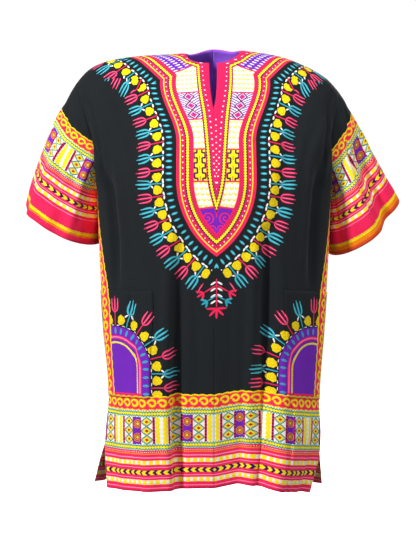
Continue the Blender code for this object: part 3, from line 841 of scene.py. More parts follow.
def mesh_piece(name: str, nets: Sequence[tuple[Net, bool]], joined: float, wall: float) -> bpy.types.Object:
    """Makes one piece of thin cloth from its nets.

    Args:
        name: the piece's name.
        nets: each net, and whether its faces are turned over so that they look outward.
        joined: how near two points have to be to become one, in millimetres.
        wall: the cloth's thickness, in millimetres, which goes inward from the net.

    Returns:
        The piece, with its UV map and a live Solidify modifier.
    """
    points: list[np.ndarray] = []
    faces: list[list[int]] = []
    flats: list[np.ndarray] = []
    base = 0
    for net, turned in nets:
        rows, columns = net.points.shape[:2]
        numbers = base + np.arange(rows * columns).reshape(rows, columns)
        quads = np.stack([numbers[:-1, :-1], numbers[:-1, 1:], numbers[1:, 1:], numbers[1:, :-1]], axis=2)
        quads = quads.reshape(-1, 4)
        faces.extend((quads[:, ::-1] if turned else quads).tolist())
        points.append(net.points.reshape(-1, 3))
        flats.append(net.flat.reshape(-1, 2))
        base += rows * columns
    places = np.concatenate(points) * MM
    flat = np.concatenate(flats) * MM
    mesh = bpy.data.meshes.new(name)
    mesh.from_pydata(places.tolist(), [], faces)
    layer = mesh.uv_layers.new(name="flat_cut")
    corners = np.zeros(len(mesh.loops), int)
    mesh.loops.foreach_get("vertex_index", corners)
    layer.uv.foreach_set("vector", flat[corners].astype(np.float32).ravel())
    piece = bpy.data.objects.new(name, mesh)
    bpy.context.scene.collection.objects.link(piece)
    if joined > 0:
        join_points(piece, joined * MM)
    mesh.shade_smooth()
    solid = piece.modifiers.new("wall", "SOLIDIFY")
    solid.thickness = wall * MM
    solid.offset = -1.0
    solid.use_even_offset = False
    return piece


def join_points(piece: bpy.types.Object, distance: float) -> None:
    """Makes one point of those that lie together, so that the halves of a piece are one sheet."""
    bpy.ops.object.select_all(action="DESELECT")
    piece.select_set(True)
    bpy.context.view_layer.objects.active = piece
    bpy.ops.object.mode_set(mode="EDIT")
    bpy.ops.mesh.select_all(action="SELECT")
    bpy.ops.mesh.remove_doubles(threshold=distance)
    bpy.ops.object.mode_set(mode="OBJECT")


# Inks and nodes


def ink(red: int, green: int, blue: int) -> Colour:
    """An ink as light values, from screen values of 0 to 255."""
    shares = (value / 255.0 for value in (red, green, blue))
    return tuple(s / 12.92 if s <= 0.04045 else ((s + 0.055) / 1.055) ** 2.4 for s in shares)


@dataclass(frozen=True)
class Inks:
    """The inks of the print."""

    black: Colour = ink(25, 29, 32)
    pink: Colour = ink(248, 38, 90)
    rose: Colour = ink(226, 34, 92)
    hot_pink: Colour = ink(232, 34, 92)
    pale: Colour = ink(255, 140, 190)
    yellow: Colour = ink(255, 230, 24)
    ochre: Colour = ink(205, 150, 10)
    orange: Colour = ink(250, 140, 20)
    purple: Colour = ink(116, 38, 184)
    plum: Colour = ink(70, 15, 80)
    teal: Colour = ink(50, 168, 190)
    light_teal: Colour = ink(116, 210, 222)
    green: Colour = ink(40, 128, 98)
    red: Colour = ink(200, 36, 26)
    ember: Colour = ink(236, 84, 36)
    violet: Colour = ink(168, 104, 255)
    deep_violet: Colour = ink(158, 96, 250)
    white: Colour = ink(243, 243, 240)


INKS = Inks()

STITCH_PITCH = 3.4
STITCH_HALF = 1.2
STITCH_LINE = 0.45


@dataclass(frozen=True)
class Field:
    """A value that changes over the cloth. Arithmetic on it adds nodes to its board."""

    board: Board
    socket: bpy.types.NodeSocket

    def __add__(self, other: Value) -> Field:
        """The sum."""
        return self.board.math("ADD", self, other)

    def __mul__(self, other: Value) -> Field:
        """The product, which is also where two masks are both on."""
        return self.board.math("MULTIPLY", self, other)

    def __sub__(self, other: Value) -> Field:
        """The difference."""
        return self.board.math("SUBTRACT", self, other)

    def __rsub__(self, other: Value) -> Field:
        """The difference from a number."""
        return self.board.math("SUBTRACT", other, self)

    def __lt__(self, other: Value) -> Field:
        """A mask of where this is less."""
        return self.board.math("LESS_THAN", self, other)

    def __gt__(self, other: Value) -> Field:
        """A mask of where this is more."""
        return self.board.math("GREATER_THAN", self, other)

    def __or__(self, other: Field) -> Field:
        """A mask of where either mask is on."""
        return self.board.math("MAXIMUM", self, other)

    def size(self) -> Field:
        """The value without its sign."""
        return self.board.math("ABSOLUTE", self)

    def sign(self) -> Field:
        """The value's sign: 1 or -1."""
        return self.board.math("SIGN", self)

    def near(self, middle: Value, reach: Value) -> Field:
        """A mask of where this is within a reach of a middle value."""
        return self.board.math("COMPARE", self, middle, reach)

    def repeat(self, pitch: float) -> Field:
        """The distance to the nearest whole number of pitches, with its sign."""
        return self.board.math("WRAP", self, pitch / 2, -pitch / 2)

    def wave(self, pitch: float) -> Field:
        """A sine wave from -1 to 1 that repeats at a pitch."""
        return self.board.math("SINE", self * (2 * math.pi / pitch))

    def least(self, other: Value) -> Field:
        """The smaller of two values."""
        return self.board.math("MINIMUM", self, other)

    def most(self, other: Value) -> Field:
        """The larger of two values."""
        return self.board.math("MAXIMUM", self, other)


Value = Field | float
Paint = Field | Colour


class Board:
    """Adds nodes to a tree, and lays inks over one another, each where its mask is on."""

    def __init__(self, tree: bpy.types.NodeTree) -> None:
        """Starts on an empty or prepared tree."""
        self.tree = tree
        self.paint: Field | None = None
        self.thread: Field | None = None

    def node(self, kind: str, **settings: object) -> bpy.types.Node:
        """Adds a node with its settings."""
        made = self.tree.nodes.new(kind)
        for key, value in settings.items():
            setattr(made, key, value)
        return made

    def feed(self, socket: bpy.types.NodeSocket, value: Value | Colour) -> None:
        """Links a field to a socket, or sets a number or an ink on it."""
        if isinstance(value, Field):
            self.tree.links.new(value.socket, socket)
        elif isinstance(value, tuple):
            socket.default_value = (*value, 1.0) if len(socket.default_value) == 4 else value
        else:
            socket.default_value = float(value)

    def math(self, operation: str, *values: Value) -> Field:
        """Adds a Math node."""
        made = self.node("ShaderNodeMath", operation=operation)
        for socket, value in zip(made.inputs, values):
            self.feed(socket, value)
        return Field(self, made.outputs[0])

    def choose(self, mask: Field, off: Paint, on: Paint) -> Field:
        """One ink or another, by a mask."""
        made = self.node("ShaderNodeMix", data_type="RGBA")
        self.feed(made.inputs[0], mask)
        self.feed(made.inputs[6], off)
        self.feed(made.inputs[7], on)
        return Field(self, made.outputs[2])

    def between(self, mask: Field, off: Value, on: Value) -> Field:
        """One value or another, by a mask."""
        made = self.node("ShaderNodeMix", data_type="FLOAT")
        self.feed(made.inputs[0], mask)
        self.feed(made.inputs[2], off)
        self.feed(made.inputs[3], on)
        return Field(self, made.outputs[0])

    def lay(self, mask: Field, colour: Paint) -> None:
        """Lays an ink over what is there, where the mask is on."""
        self.paint = self.choose(mask, self.paint, colour)

    def lay_all(self, value: Field, room: Field, steps: Sequence[tuple[float, Colour]]) -> None:
        """Lays inks one inside another in a room, each where the value is below its limit."""
        for limit, colour in steps:
            self.lay(room * (value < limit), colour)

    def stripes(self, value: Field, span: float, bands: Sequence[tuple[float, Colour]]) -> Field:
        """Sharp bands of ink.

        Args:
            value: what the bands follow, from 0 to span.
            span: the value at the end of the last band.
            bands: where each band starts, and its ink.

        Returns:
            The ink at each value.
        """
        scaled = value * (1.0 / span)
        ramp_node = self.node("ShaderNodeValToRGB")
        bars = ramp_node.color_ramp
        bars.interpolation = "CONSTANT"
        for k, (start, colour) in enumerate(bands):
            bar = bars.elements[k] if k < 1 else bars.elements.new(start / span)
            bar.position = start / span
            bar.color = (*colour, 1.0)
        if len(bands) < len(bars.elements):
            bars.elements.remove(bars.elements[-1])
        self.tree.links.new(scaled.socket, ramp_node.inputs[0])
        return Field(self, ramp_node.outputs[0])

    def beads(self, away: Field, along: Field, pitch: float, half: Vec2) -> None:
        """Lays a beaded yellow line.

        Args:
            away: the distance from the line.
            along: the distance along it.
            pitch: how far apart its beads are.
            half: the line's half width, and how much that swings.
        """
        self.lay(away.size() < along.wave(pitch) * half[1] + half[0], INKS.yellow)

    def ease(self, value: Field, over: Vec2, to: Vec2) -> Field:
        """A smooth step between two results, as the value goes over a range."""
        made = self.node("ShaderNodeMapRange", interpolation_type="SMOOTHSTEP")
        self.feed(made.inputs[0], value)
        for socket, number in zip(made.inputs[1:5], (*over, *to)):
            socket.default_value = number
        return Field(self, made.outputs[0])

    def noise(self, across: Field, up: Field, scale: float, detail: float, dimensions: str = "2D") -> Field:
        """Soft noise over the cloth, from 0 to 1."""
        place = self.node("ShaderNodeCombineXYZ")
        self.feed(place.inputs[0], across)
        self.feed(place.inputs[1], up)
        made = self.node("ShaderNodeTexNoise", noise_dimensions=dimensions)
        made.inputs["Scale"].default_value = scale
        made.inputs["Detail"].default_value = detail
        self.tree.links.new(place.outputs[0], made.inputs["Vector"])
        return Field(self, made.outputs[0])

    def stitch(self, line: Field, along: Field) -> None:
        """Sews a line of stitches where the mask of a line is on."""
        dashes = line * (along.repeat(STITCH_PITCH).size() < STITCH_HALF)
        self.thread = dashes if self.thread is None else self.thread | dashes

    def disc(self, across: Field, up: Field, wide: float, tall: float) -> Field:
        """A mask of an ellipse, from its half width and half height."""
        first = self.math("POWER", across.size() * (1.0 / wide), 2.0)
        second = self.math("POWER", up.size() * (1.0 / tall), 2.0)
        return first + second < 1.0

    def leaf(self, across: Field, up: Field, place: Vec2, turn: float, half: Vec2) -> Field:
        """A mask of a leaf: a turned ellipse about a place.

        Args:
            across: the place across.
            up: the place up.
            place: the leaf's middle.
            turn: how far the leaf leans, in degrees.
            half: half its width and half its length.

        Returns:
            The mask.
        """
        cosine, sine = math.cos(math.radians(turn)), math.sin(math.radians(turn))
        x, y = across - place[0], up - place[1]
        return self.disc(x * cosine + y * sine, y * cosine - x * sine, *half)

    def fan(
        self,
        aside: Field,
        up: Field,
        root: Vec2,
        turns: Sequence[float],
        half: Vec2,
        colour: Colour,
    ) -> None:
        """Lays leaves that spread from a root.

        Args:
            aside: the distance beside the middle.
            up: the place up.
            root: where the leaves start.
            turns: how far each is turned outward from straight down, in degrees.
            half: half a leaf's width and half its length.
            colour: the ink.
        """
        for turn in turns:
            lean = math.radians(turn)
            middle = (root[0] + half[1] * math.sin(lean), root[1] - half[1] * math.cos(lean))
            self.lay(self.leaf(aside, up, middle, turn, half), colour)

    def length(self, across: Field, up: Field) -> Field:
        """The distance from the origin."""
        return self.math("SQRT", across * across + up * up)

    def turn_of(self, up: Field, across: Field) -> Field:
        """The turn of a place about the origin."""
        return self.math("ARCTAN2", up, across)

    def place_group(self, tree: bpy.types.NodeTree, *values: Value) -> list[Field]:
        """Places a node group with its inputs in order, and returns its outputs."""
        made = self.node("ShaderNodeGroup", node_tree=tree)
        for socket, value in zip(made.inputs, values):
            self.feed(socket, value)
        return [Field(self, socket) for socket in made.outputs]

    def flat_place(self) -> tuple[Field, Field]:
        """The place in the flat cut, in millimetres: across, and up."""
        reader = self.node("ShaderNodeUVMap", uv_map="flat_cut")
        parts = self.node("ShaderNodeSeparateXYZ")
        self.tree.links.new(reader.outputs[0], parts.inputs[0])
        return Field(self, parts.outputs[0]) * 1000.0, Field(self, parts.outputs[1]) * 1000.0


Draw = Callable[[Board, Field, Field], None]

COLOUR_AND_MASK = (("Colour", "NodeSocketColor"), ("Mask", "NodeSocketFloat"))


def new_group(
    name: str,
    inputs: Sequence[str],
    outputs: Sequence[tuple[str, str]],
) -> tuple[Board, list[Field]]:
    """Starts a shader node group.

    Args:
        name: the group's name.
        inputs: the names of its value inputs.
        outputs: the name and the socket type of each output.

    Returns:
        The board of the group, and its inputs as fields.
    """
    tree = bpy.data.node_groups.new(name, "ShaderNodeTree")
    for word in inputs:
        tree.interface.new_socket(word, in_out="INPUT", socket_type="NodeSocketFloat")
    for word, kind in outputs:
        tree.interface.new_socket(word, in_out="OUTPUT", socket_type=kind)
    board = Board(tree)
    start = board.node("NodeGroupInput")
    return board, [Field(board, socket) for socket in start.outputs[: len(inputs)]]


def close_group(board: Board, *results: Field) -> bpy.types.NodeTree:
    """Links a group's outputs in order, and returns the group."""
    end = board.node("NodeGroupOutput")
    for socket, result in zip(end.inputs, results):
        board.tree.links.new(result.socket, socket)
    return board.tree


# The repeats of the print


@dataclass(frozen=True)
class FringeSizes:
    """Sizes of the fringe's motifs. A level is outward from the edge, and a pair is a middle and a reach."""

    pitch: float = 24.0
    prongs: Vec2 = (57.5, 11.8)
    prong_foot: float = 45.5
    prong_bow: float = 6.9
    prong_half: float = 1.75
    thins_from: float = 59.0
    middle_prong: float = 58.5
    middle_half: Vec2 = (1.8, 14.5)
    stalk: Vec2 = (34.5, 12.5)
    stalk_half: float = 1.0
    vein_half: float = 0.32
    inner_leaf: Vec2 = (6.6, 23.2)
    outer_leaf: Vec2 = (5.4, 42.6)
    rosette: float = 33.6
    rosette_half: float = 7.6
    outline_half: float = 8.7


@dataclass(frozen=True)
class BorderSizes:
    """Levels and sizes of the border. A pair is a middle and a reach."""

    bands: tuple[tuple[float, Colour], ...] = (
        (0.0, INKS.pink), (5.4, INKS.pale), (7.2, INKS.pink), (12.8, INKS.white), (20.0, INKS.pink),
        (23.4, INKS.pale), (25.2, INKS.pink), (29.0, INKS.plum), (37.8, INKS.pink), (41.2, INKS.pale),
        (43.0, INKS.pink), (47.0, INKS.white), (54.3, INKS.pink), (58.3, INKS.pale), (60.1, INKS.pink),
        (64.6, INKS.orange), (66.8, INKS.pink), (71.9, INKS.white), (83.2, INKS.white), (130.2, INKS.white),
        (141.4, INKS.pink),
    )
    span: float = 170.0
    low_dashes: Vec2 = (16.4, 3.6)
    high_dashes: Vec2 = (50.65, 3.65)
    dash_pitch: float = 11.2
    chevrons: float = 33.4
    chevron_pitch: float = 12.6
    dots: float = 69.2
    middle: float = 106.7
    zigzags: float = 29.1
    columns: float = 23.5
    period: float = 90.6
    yellow_column: Vec2 = (6.2, 3.5)
    near_strip: Vec2 = (13.1, 2.2)
    far_strip: Vec2 = (37.0, 1.9)
    bead_pitch: float = 5.6
    lozenges: Vec2 = (25.3, 10.1)
    lozenge_pitch: float = 15.6
    hubs_from: float = 38.6
    hubs: float = 45.3
    curls_from: float = 141.4
    curls: float = 153.6
    sure_below: float = 150.0


@dataclass
class PrintGroups:
    """The parts of the print that more than one material uses, each a node group made once."""

    fringe_sizes: FringeSizes = FringeSizes()
    border_sizes: BorderSizes = BorderSizes()
    ring_pitch: float = 12.4
    ring_edge: float = 9.0
    fringe: bpy.types.NodeTree = field(init=False)
    rings: bpy.types.NodeTree = field(init=False)
    border: bpy.types.NodeTree = field(init=False)
    cloth: bpy.types.NodeTree = field(init=False)

    def __post_init__(self) -> None:
        """Makes the groups."""
        self.fringe = self.make_fringe()
        self.rings = self.make_rings()
        self.border = self.make_border()
        self.cloth = self.make_cloth()

    def make_fringe(self) -> bpy.types.NodeTree:
        """Rosettes, white leaves and three-leaved sprigs in turn along an edge, outward from it."""
        board, (along, out, spread) = new_group("fringe", ("Along", "Out", "Spread"), COLOUR_AND_MASK)
        sizes = self.fringe_sizes
        stem = (along + sizes.pitch / 2).repeat(sizes.pitch) * spread
        turn = board.math("FLOORED_MODULO", board.math("FLOOR", along * (1 / sizes.pitch)), 2.0) > 0.5
        board.paint = board.choose(turn, INKS.hot_pink, INKS.teal)
        light = board.choose(turn, INKS.pale, INKS.light_teal)
        beside = stem.size()
        bow = sizes.prong_bow - board.math("EXPONENT", (out - sizes.prong_foot) * -0.3) * sizes.prong_bow
        off_prong = (beside - bow).size()
        reach = out.near(*sizes.prongs)
        thin = sizes.prong_half - (out - sizes.thins_from).most(0.0) * 0.11
        middle = board.disc(stem, out - sizes.middle_prong, *sizes.middle_half)
        stalk = (beside < sizes.stalk_half) * out.near(*sizes.stalk)
        sprig = (off_prong < thin) * reach | middle | stalk
        board.lay(((off_prong < sizes.vein_half) * reach) | ((beside < 0.4) * out.near(58.0, 10.0)), light)
        own = along.repeat(sizes.pitch) * spread
        inner = board.leaf(own.size(), out, sizes.inner_leaf, 80.0, (1.6, 3.3))
        leaves = inner | board.leaf(beside, out, sizes.outer_leaf, 42.0, (1.4, 4.2)) * turn
        board.lay(leaves, INKS.white)
        return close_group(board, *self.rosettes(board, along, own, out, sprig | leaves))

    def rosettes(self, board: Board, along: Field, own: Field, out: Field, mask: Field) -> list[Field]:
        """Lays the fringe's rosettes, no two alike, and adds them to its mask."""
        sizes = self.fringe_sizes
        far = board.length(own, (out - sizes.rosette) * 0.92)
        turn = board.turn_of(own, out - sizes.rosette)
        number = board.math("FLOOR", along * (1 / sizes.pitch) + 0.5)
        fine = board.math("SINE", turn * 7.0 + number) * 0.35
        lumps = fine + board.math("SINE", turn * 3.0 + number * 2.1) * 0.6
        board.lay(far < lumps + sizes.outline_half, INKS.black)
        rosette = far < lumps + sizes.rosette_half
        board.lay(rosette, INKS.yellow)
        marks = board.math("SINE", far * 2.9 + lumps * 3.2) > 0.58
        board.lay(marks * rosette * (far > 1.2), INKS.ochre)
        return [board.paint, mask | rosette]

    def make_rings(self) -> bpy.types.NodeTree:
        """A strip of yellow curls on pink between two scalloped edges. Out of it the mask is off."""
        board, (along, across) = new_group("rings", ("Along", "Across"), COLOUR_AND_MASK)
        own = along.repeat(self.ring_pitch)
        far = board.length(own, across * 0.95)
        curl = (far - board.turn_of(across, own) * 0.42 - 3.9).size()
        board.paint = board.choose(curl < 1.75, INKS.pink, INKS.orange)
        board.lay(curl < 1.05, INKS.yellow)
        edge = across.size() - along.wave(18.6).size() * 1.1
        board.lay(edge > 6.6, INKS.orange)
        board.lay(edge > 7.4, INKS.yellow)
        return close_group(board, board.paint, edge < self.ring_edge)

    def make_border(self) -> bpy.types.NodeTree:
        """The border from the hem up: lines, dashes, chevrons, zigzags, columns and curls."""
        board, (along, up) = new_group("border", ("Along", "Up"), COLOUR_AND_MASK)
        sizes = self.border_sizes
        board.paint = board.stripes(up, sizes.span, sizes.bands)
        self.border_rows(board, along, up)
        self.border_columns(board, along, up)
        points = up - sizes.curls_from + along.repeat(self.ring_pitch).size() * 1.1 < 3.4
        rings, shown = board.place_group(self.rings, along * 0.69, (up - sizes.curls) * 0.76)
        above = up > sizes.curls_from
        board.lay(above, rings)
        board.lay(above * points, INKS.yellow)
        return close_group(board, board.paint, shown | (up < sizes.sure_below))

    def border_rows(self, board: Board, along: Field, up: Field) -> None:
        """The border's dashes, chevrons, dots and the zigzags above and below its columns."""
        sizes = self.border_sizes
        dash = along.repeat(sizes.dash_pitch).size() - (up - 16.4).repeat(34.2).size() * 0.35 < 3.0
        board.lay(dash * (up.near(*sizes.low_dashes) | up.near(*sizes.high_dashes)), INKS.yellow)
        off = (up - sizes.chevrons).size()
        arrow = (along.size() + off * 1.1).repeat(sizes.chevron_pitch).near(0.0, 3.3)
        board.lay(arrow * (off < 3.8), INKS.yellow)
        board.lay(board.disc(along.repeat(3.4), up - sizes.dots, 0.7, 0.7), INKS.white)
        far = ((up - sizes.middle).size() - sizes.zigzags).size()
        wave = board.math("PINGPONG", along, 2.4) - 1.2
        board.lay((far < 5.65) * (far > 4.7) * (wave > 0.0), INKS.green)
        board.lay(far < 4.5, INKS.light_teal)
        board.lay(far < wave * 0.6 + 3.7, INKS.green)
        board.lay(far < wave * 1.1 + 2.0, INKS.yellow)

    def border_columns(self, board: Board, along: Field, up: Field) -> None:
        """The border's columns: yellow ripples, beaded strips, lozenges, and hubs on purple."""
        sizes = self.border_sizes
        columns = up.near(sizes.middle, sizes.columns)
        across = (along + 1.8).repeat(sizes.period).size()
        level = up - sizes.middle
        ripple = board.math("SINE", level * 0.8) * 0.9
        board.lay(columns * (across + ripple).near(*sizes.yellow_column), INKS.yellow)
        board.lay(columns * (across.near(*sizes.near_strip) | across.near(*sizes.far_strip)), INKS.pink)
        near_bead = board.disc(across - sizes.near_strip[0], level.repeat(sizes.bead_pitch), 1.6, 2.3)
        far_bead = board.disc(across - sizes.far_strip[0], level.repeat(sizes.bead_pitch), 1.4, 2.3)
        board.lay(columns * (near_bead | far_bead), INKS.plum)
        lozenge = (across - sizes.lozenges[0]).size() * 0.1
        lozenge = lozenge + level.repeat(sizes.lozenge_pitch).size() * (2 / sizes.lozenge_pitch)
        inside = columns * across.near(*sizes.lozenges)
        board.lay(inside * lozenge.near(1.06, 0.13), INKS.green)
        board.lay_all(lozenge, inside, ((0.86, INKS.green), (0.76, INKS.yellow), (0.36, INKS.red)))
        centre = columns * (across > sizes.hubs_from)
        board.lay(centre, INKS.purple)
        hub = board.length(sizes.hubs - across, (level - sizes.columns / 2).repeat(sizes.columns) * 0.85)
        board.lay(centre * (hub < 6.6), INKS.orange)
        board.lay(centre * hub.near(4.9, 0.5), INKS.plum)
        board.lay(centre * hub.near(2.4, 0.5), INKS.plum)
        board.lay(centre * (hub < 1.9), INKS.yellow)

    def make_cloth(self) -> bpy.types.NodeTree:
        """Plain woven cotton: a height for its threads and small creases, and a shade for its colour."""
        outputs = (("Height", "NodeSocketFloat"), ("Shade", "NodeSocketFloat"))
        board, (across, up) = new_group("woven cotton", ("Across", "Up"), outputs)
        soft = board.noise(across, up, 0.035, 3.0)
        slub = board.noise(across, up, 0.9, 2.0)
        height = across.wave(0.62) * up.wave(0.66) * 0.012 + soft * 1.3
        return close_group(board, height, slub * 0.5 + soft * 0.5)


# Finishes


@dataclass(frozen=True)
class Cotton:
    """The finish of printed cotton: how rough, how soft its sheen, how deep its weave and its stitches."""

    roughness: float = 0.86
    rough_swing: float = 0.12
    shade_swing: float = 0.34
    sheen: float = 0.03
    sheen_roughness: float = 0.5
    specular: float = 0.1
    weave: float = 0.55
    weave_depth: float = 0.0016
    thread_shade: float = 0.3
    thread_depth: float = 0.6

    def finish(self, name: str, draw: Draw, groups: PrintGroups) -> bpy.types.Material:
        """Makes a material whose colours a drawing function lays.

        Args:
            name: the material's name.
            draw: lays the colours, from the board and the place across and up in millimetres.
            groups: the node groups of the print.

        Returns:
            The material.
        """
        material = bpy.data.materials.new(name)
        material.use_nodes = True
        tree = material.node_tree
        surface = tree.nodes["Principled BSDF"]
        board = Board(tree)
        across, up = board.flat_place()
        draw(board, across, up)
        height, shade = board.place_group(groups.cloth, across, up)
        dark = shade * self.shade_swing + (1.0 - self.shade_swing / 2)
        if board.thread is not None:
            dark = dark - board.thread * self.thread_shade
            height = height - board.thread * self.thread_depth
        grey = board.node("ShaderNodeCombineColor")
        for socket in grey.inputs:
            board.feed(socket, dark)
        mixed = board.node("ShaderNodeMix", data_type="RGBA", blend_type="MULTIPLY")
        mixed.inputs[0].default_value = 1.0
        board.feed(mixed.inputs[6], board.paint)
        tree.links.new(grey.outputs[0], mixed.inputs[7])
        tree.links.new(mixed.outputs[2], surface.inputs["Base Color"])
        rough = shade * self.rough_swing + (self.roughness - self.rough_swing / 2)
        tree.links.new(rough.socket, surface.inputs["Roughness"])
        surface.inputs["Specular IOR Level"].default_value = self.specular
        surface.inputs["Sheen Weight"].default_value = self.sheen
        surface.inputs["Sheen Roughness"].default_value = self.sheen_roughness
        bump = board.node("ShaderNodeBump")
        bump.inputs["Strength"].default_value = self.weave
        bump.inputs["Distance"].default_value = self.weave_depth
        tree.links.new(height.socket, bump.inputs["Height"])
        tree.links.new(bump.outputs[0], surface.inputs["Normal"])
        return material


# The prints


@dataclass
class YokePrint:
    """The print of the upper body, on the flat cut in millimetres.

    The yoke's edge has straight sides that widen upward, an arc below them and a flare over each shoulder.
    """

    groups: PrintGroups
    centre: float = 3.0
    half_width: float = 68.0
    widening: float = 34.0
    widening_levels: Vec2 = (590.0, 712.0)
    flare_slope: Vec2 = (0.71, 0.70)
    flare_foot: float = 600.0
    arch_level: float = 525.0
    arch_radius: float = 156.0
    arch_packing: float = 1.38
    arch_foot: float = -222.0
    dash_pitch: float = 10.6
    dashes: float = 12.8
    dash_half: Vec2 = (2.05, 5.6)
    glint_half: Vec2 = (0.8, 3.4)
    fringe_from: float = 20.0
    lean_from: float = 560.0
    lean_to: float = 715.0
    bands: tuple[tuple[float, Colour], ...] = (
        (0.0, INKS.pink), (5.6, INKS.yellow), (7.6, INKS.rose), (14.8, INKS.plum), (22.4, INKS.rose),
    )
    bands_span: float = 34.0
    bands_end: float = 28.4
    bead_line: float = 19.2
    bead_pitch: float = 4.8
    white_dots: float = 10.9
    slit_half_width: float = 13.0
    slit_slope: float = 0.078
    slit_arch_centre: Vec2 = (-237.0, 560.0)
    slit_arch_radius: float = 250.0
    strip_edge: float = 4.0
    block_foot: float = 522.0
    block_height: float = 54.0
    foot_slope: float = 0.12
    foot_top: float = 480.0
    top_slope: float = 0.42
    top_foot: float = 762.0
    rim_half: float = 1.3
    dots_from: float = 495.0
    dot_pitch: float = 10.4
    slit_stitches: Vec2 = (700.0, 50.0)

    def draw(self, board: Board, across: Field, up: Field) -> None:
        """Lays the yoke: bands and blocks round the neck and slit, with the fringe outside them."""
        aside = (across - self.centre).size()
        below = self.arch_level - up > 0.0
        edge, along = self.edge(board, aside, up, below)
        self.fringe(board, edge, along, below, up)
        self.spray(board, aside, up)
        self.edge_bands(board, edge * -1.0, along)
        inner = self.slit_distance(board, aside, up)
        self.blocks(board, edge * -1.0, inner, aside, up)
        self.centre_strip(board, inner, across, up)
        beside_slit = aside - 5.5 - (up - 645.0) * 0.035
        board.stitch(beside_slit.near(0.0, STITCH_LINE) * up.near(*self.slit_stitches), up)

    def edge(self, board: Board, aside: Field, up: Field, below: Field) -> tuple[Field, Field]:
        """The distance outward from the yoke's edge, and the distance along it from where the arc starts."""
        top = self.widening_levels[1]
        over = aside - (self.half_width + self.widening)
        sides = aside - self.half_width - board.ease(up, self.widening_levels, (0.0, self.widening))
        reach = aside + (self.arch_radius - self.half_width)
        drop = self.arch_level - up
        body = board.between(below, sides, board.length(reach, drop) - self.arch_radius)
        first, second = self.flare_slope
        flare = over * first - (up - top) * second
        along = board.between(below, up - self.arch_level, board.turn_of(drop, reach) * -self.arch_radius)
        flared = (flare < body) * (up > self.flare_foot)
        along_flare = over * second + (up - top) * first + (top - self.arch_level)
        return body.least(flare), board.between(flared, along, along_flare)

    def fringe(self, board: Board, edge: Field, along: Field, below: Field, up: Field) -> None:
        """Black cloth, the fringe of dashes, rosettes and sprigs, and nothing past the arch's foot."""
        grown = (edge + self.arch_radius) * (1.0 / self.arch_radius)
        own = along.repeat(self.dash_pitch) * board.between(below, 1.0, grown)
        dashes = board.disc(own, edge - self.dashes, *self.dash_half)
        board.paint = board.choose(dashes, INKS.black, INKS.teal)
        board.lay(board.disc(own, edge - (self.dashes + 0.2), *self.glint_half), INKS.light_teal)
        spread = board.between(below, 1.0, grown * (1.0 / self.arch_packing))
        lean = (up - self.lean_from).most(0.0) * 0.0030 + 0.12
        lean = board.between(below, lean * (up < self.lean_to), 0.0)
        shifted = along * board.between(below, 1.0, self.arch_packing) - 5.0 + lean * (edge - 30.0)
        colour, mask = board.place_group(self.groups.fringe, shifted, edge, spread)
        board.lay(mask * (shifted > self.arch_foot) * (edge > self.fringe_from), colour)

    def spray(self, board: Board, aside: Field, up: Field) -> None:
        """The upright spray under the yoke's point: a stem with pairs of leaves and three-leaved sprigs."""
        board.lay((aside < 0.9) * up.near(335.0, 24.0), INKS.pink)
        for k in range(4):
            board.fan(aside, up, (1.5, 354.0 - 10.5 * k), (58.0,), (1.6, 5.0), INKS.white)
        for k, colour in enumerate((INKS.pink, INKS.teal)):
            x, y = 21.0 - 6.0 * k, 336.0 - 14.0 * k
            board.fan(aside, up, (0.0, y + x * 0.6), (59.0,), (1.1, x * 0.58), colour)
            board.fan(aside, up, (x, y), (15.0, 57.0, 99.0), (1.8, 7.2 - k), colour)
        board.fan(aside, up, (0.0, 309.0), (0.0, 44.0, 88.0), (2.0, 8.8), INKS.pink)

    def edge_bands(self, board: Board, depth: Field, along: Field) -> None:
        """The bands that follow the yoke's edge inward."""
        board.lay(depth > 0.0, board.stripes(depth, self.bands_span, self.bands))
        board.beads(depth - self.bead_line, along, self.bead_pitch, (2.1, 0.7))
        dots = board.disc(along.repeat(self.bead_pitch * 2), depth - self.white_dots, 1.15, 1.15)
        board.lay(dots, INKS.white)

    def slit_distance(self, board: Board, aside: Field, up: Field) -> Field:
        """The distance outward from the yellow line round the slit and neck, below nought inside it."""
        x, y = self.slit_arch_centre
        arch = board.length(aside - x, up - y) - self.slit_arch_radius
        side = board.between(up > y, arch, aside - self.slit_half_width - (up - y) * self.slit_slope)
        near_neck = (aside - 26.5) * 0.457 - (up - 741.6) * 0.889
        beside_neck = (aside - 57.8) * 0.663 - (up - 757.7) * 0.748
        return side.least(near_neck.most(beside_neck))

    def blocks(self, board: Board, depth: Field, inner: Field, aside: Field, up: Field) -> None:
        """The blocks between the edge bands and the slit's line, with the lines between them."""
        room = (depth > self.bands_end) * (inner > self.strip_edge)
        middle = (inner - self.strip_edge - depth + self.bands_end) * 0.5
        board.lay(room, INKS.white)
        column = middle.repeat(8.8).size()
        leaf = (up - column * 0.95).repeat(9.6).near(0.0, 1.65) * (column < 3.5)
        board.lay(room * leaf, INKS.yellow)
        self.lozenges(board, room, middle.size(), up)
        self.steps(board, room, middle.size(), up)
        foot = up + aside * self.foot_slope
        self.curls(board, room * (foot < self.foot_top), aside, up)
        slant = up + aside * self.top_slope
        self.top_leaves(board, room * (slant > self.top_foot + 0.5), aside, up)
        half = self.block_height / 2
        between_blocks = up.near(self.block_foot + half * 3, half * 3.2)
        lines = (up - self.block_foot).repeat(self.block_height).near(0.0, self.rim_half) * between_blocks
        ends = slant.near(self.top_foot, 1.8) | foot.near(self.foot_top, 1.5)
        board.lay((lines | ends) * room, INKS.pink)
        rims = depth.near(self.bands_end + 0.6, 0.8) | inner.near(self.strip_edge + 0.4, 0.7)
        board.lay(rims * room, INKS.pink)

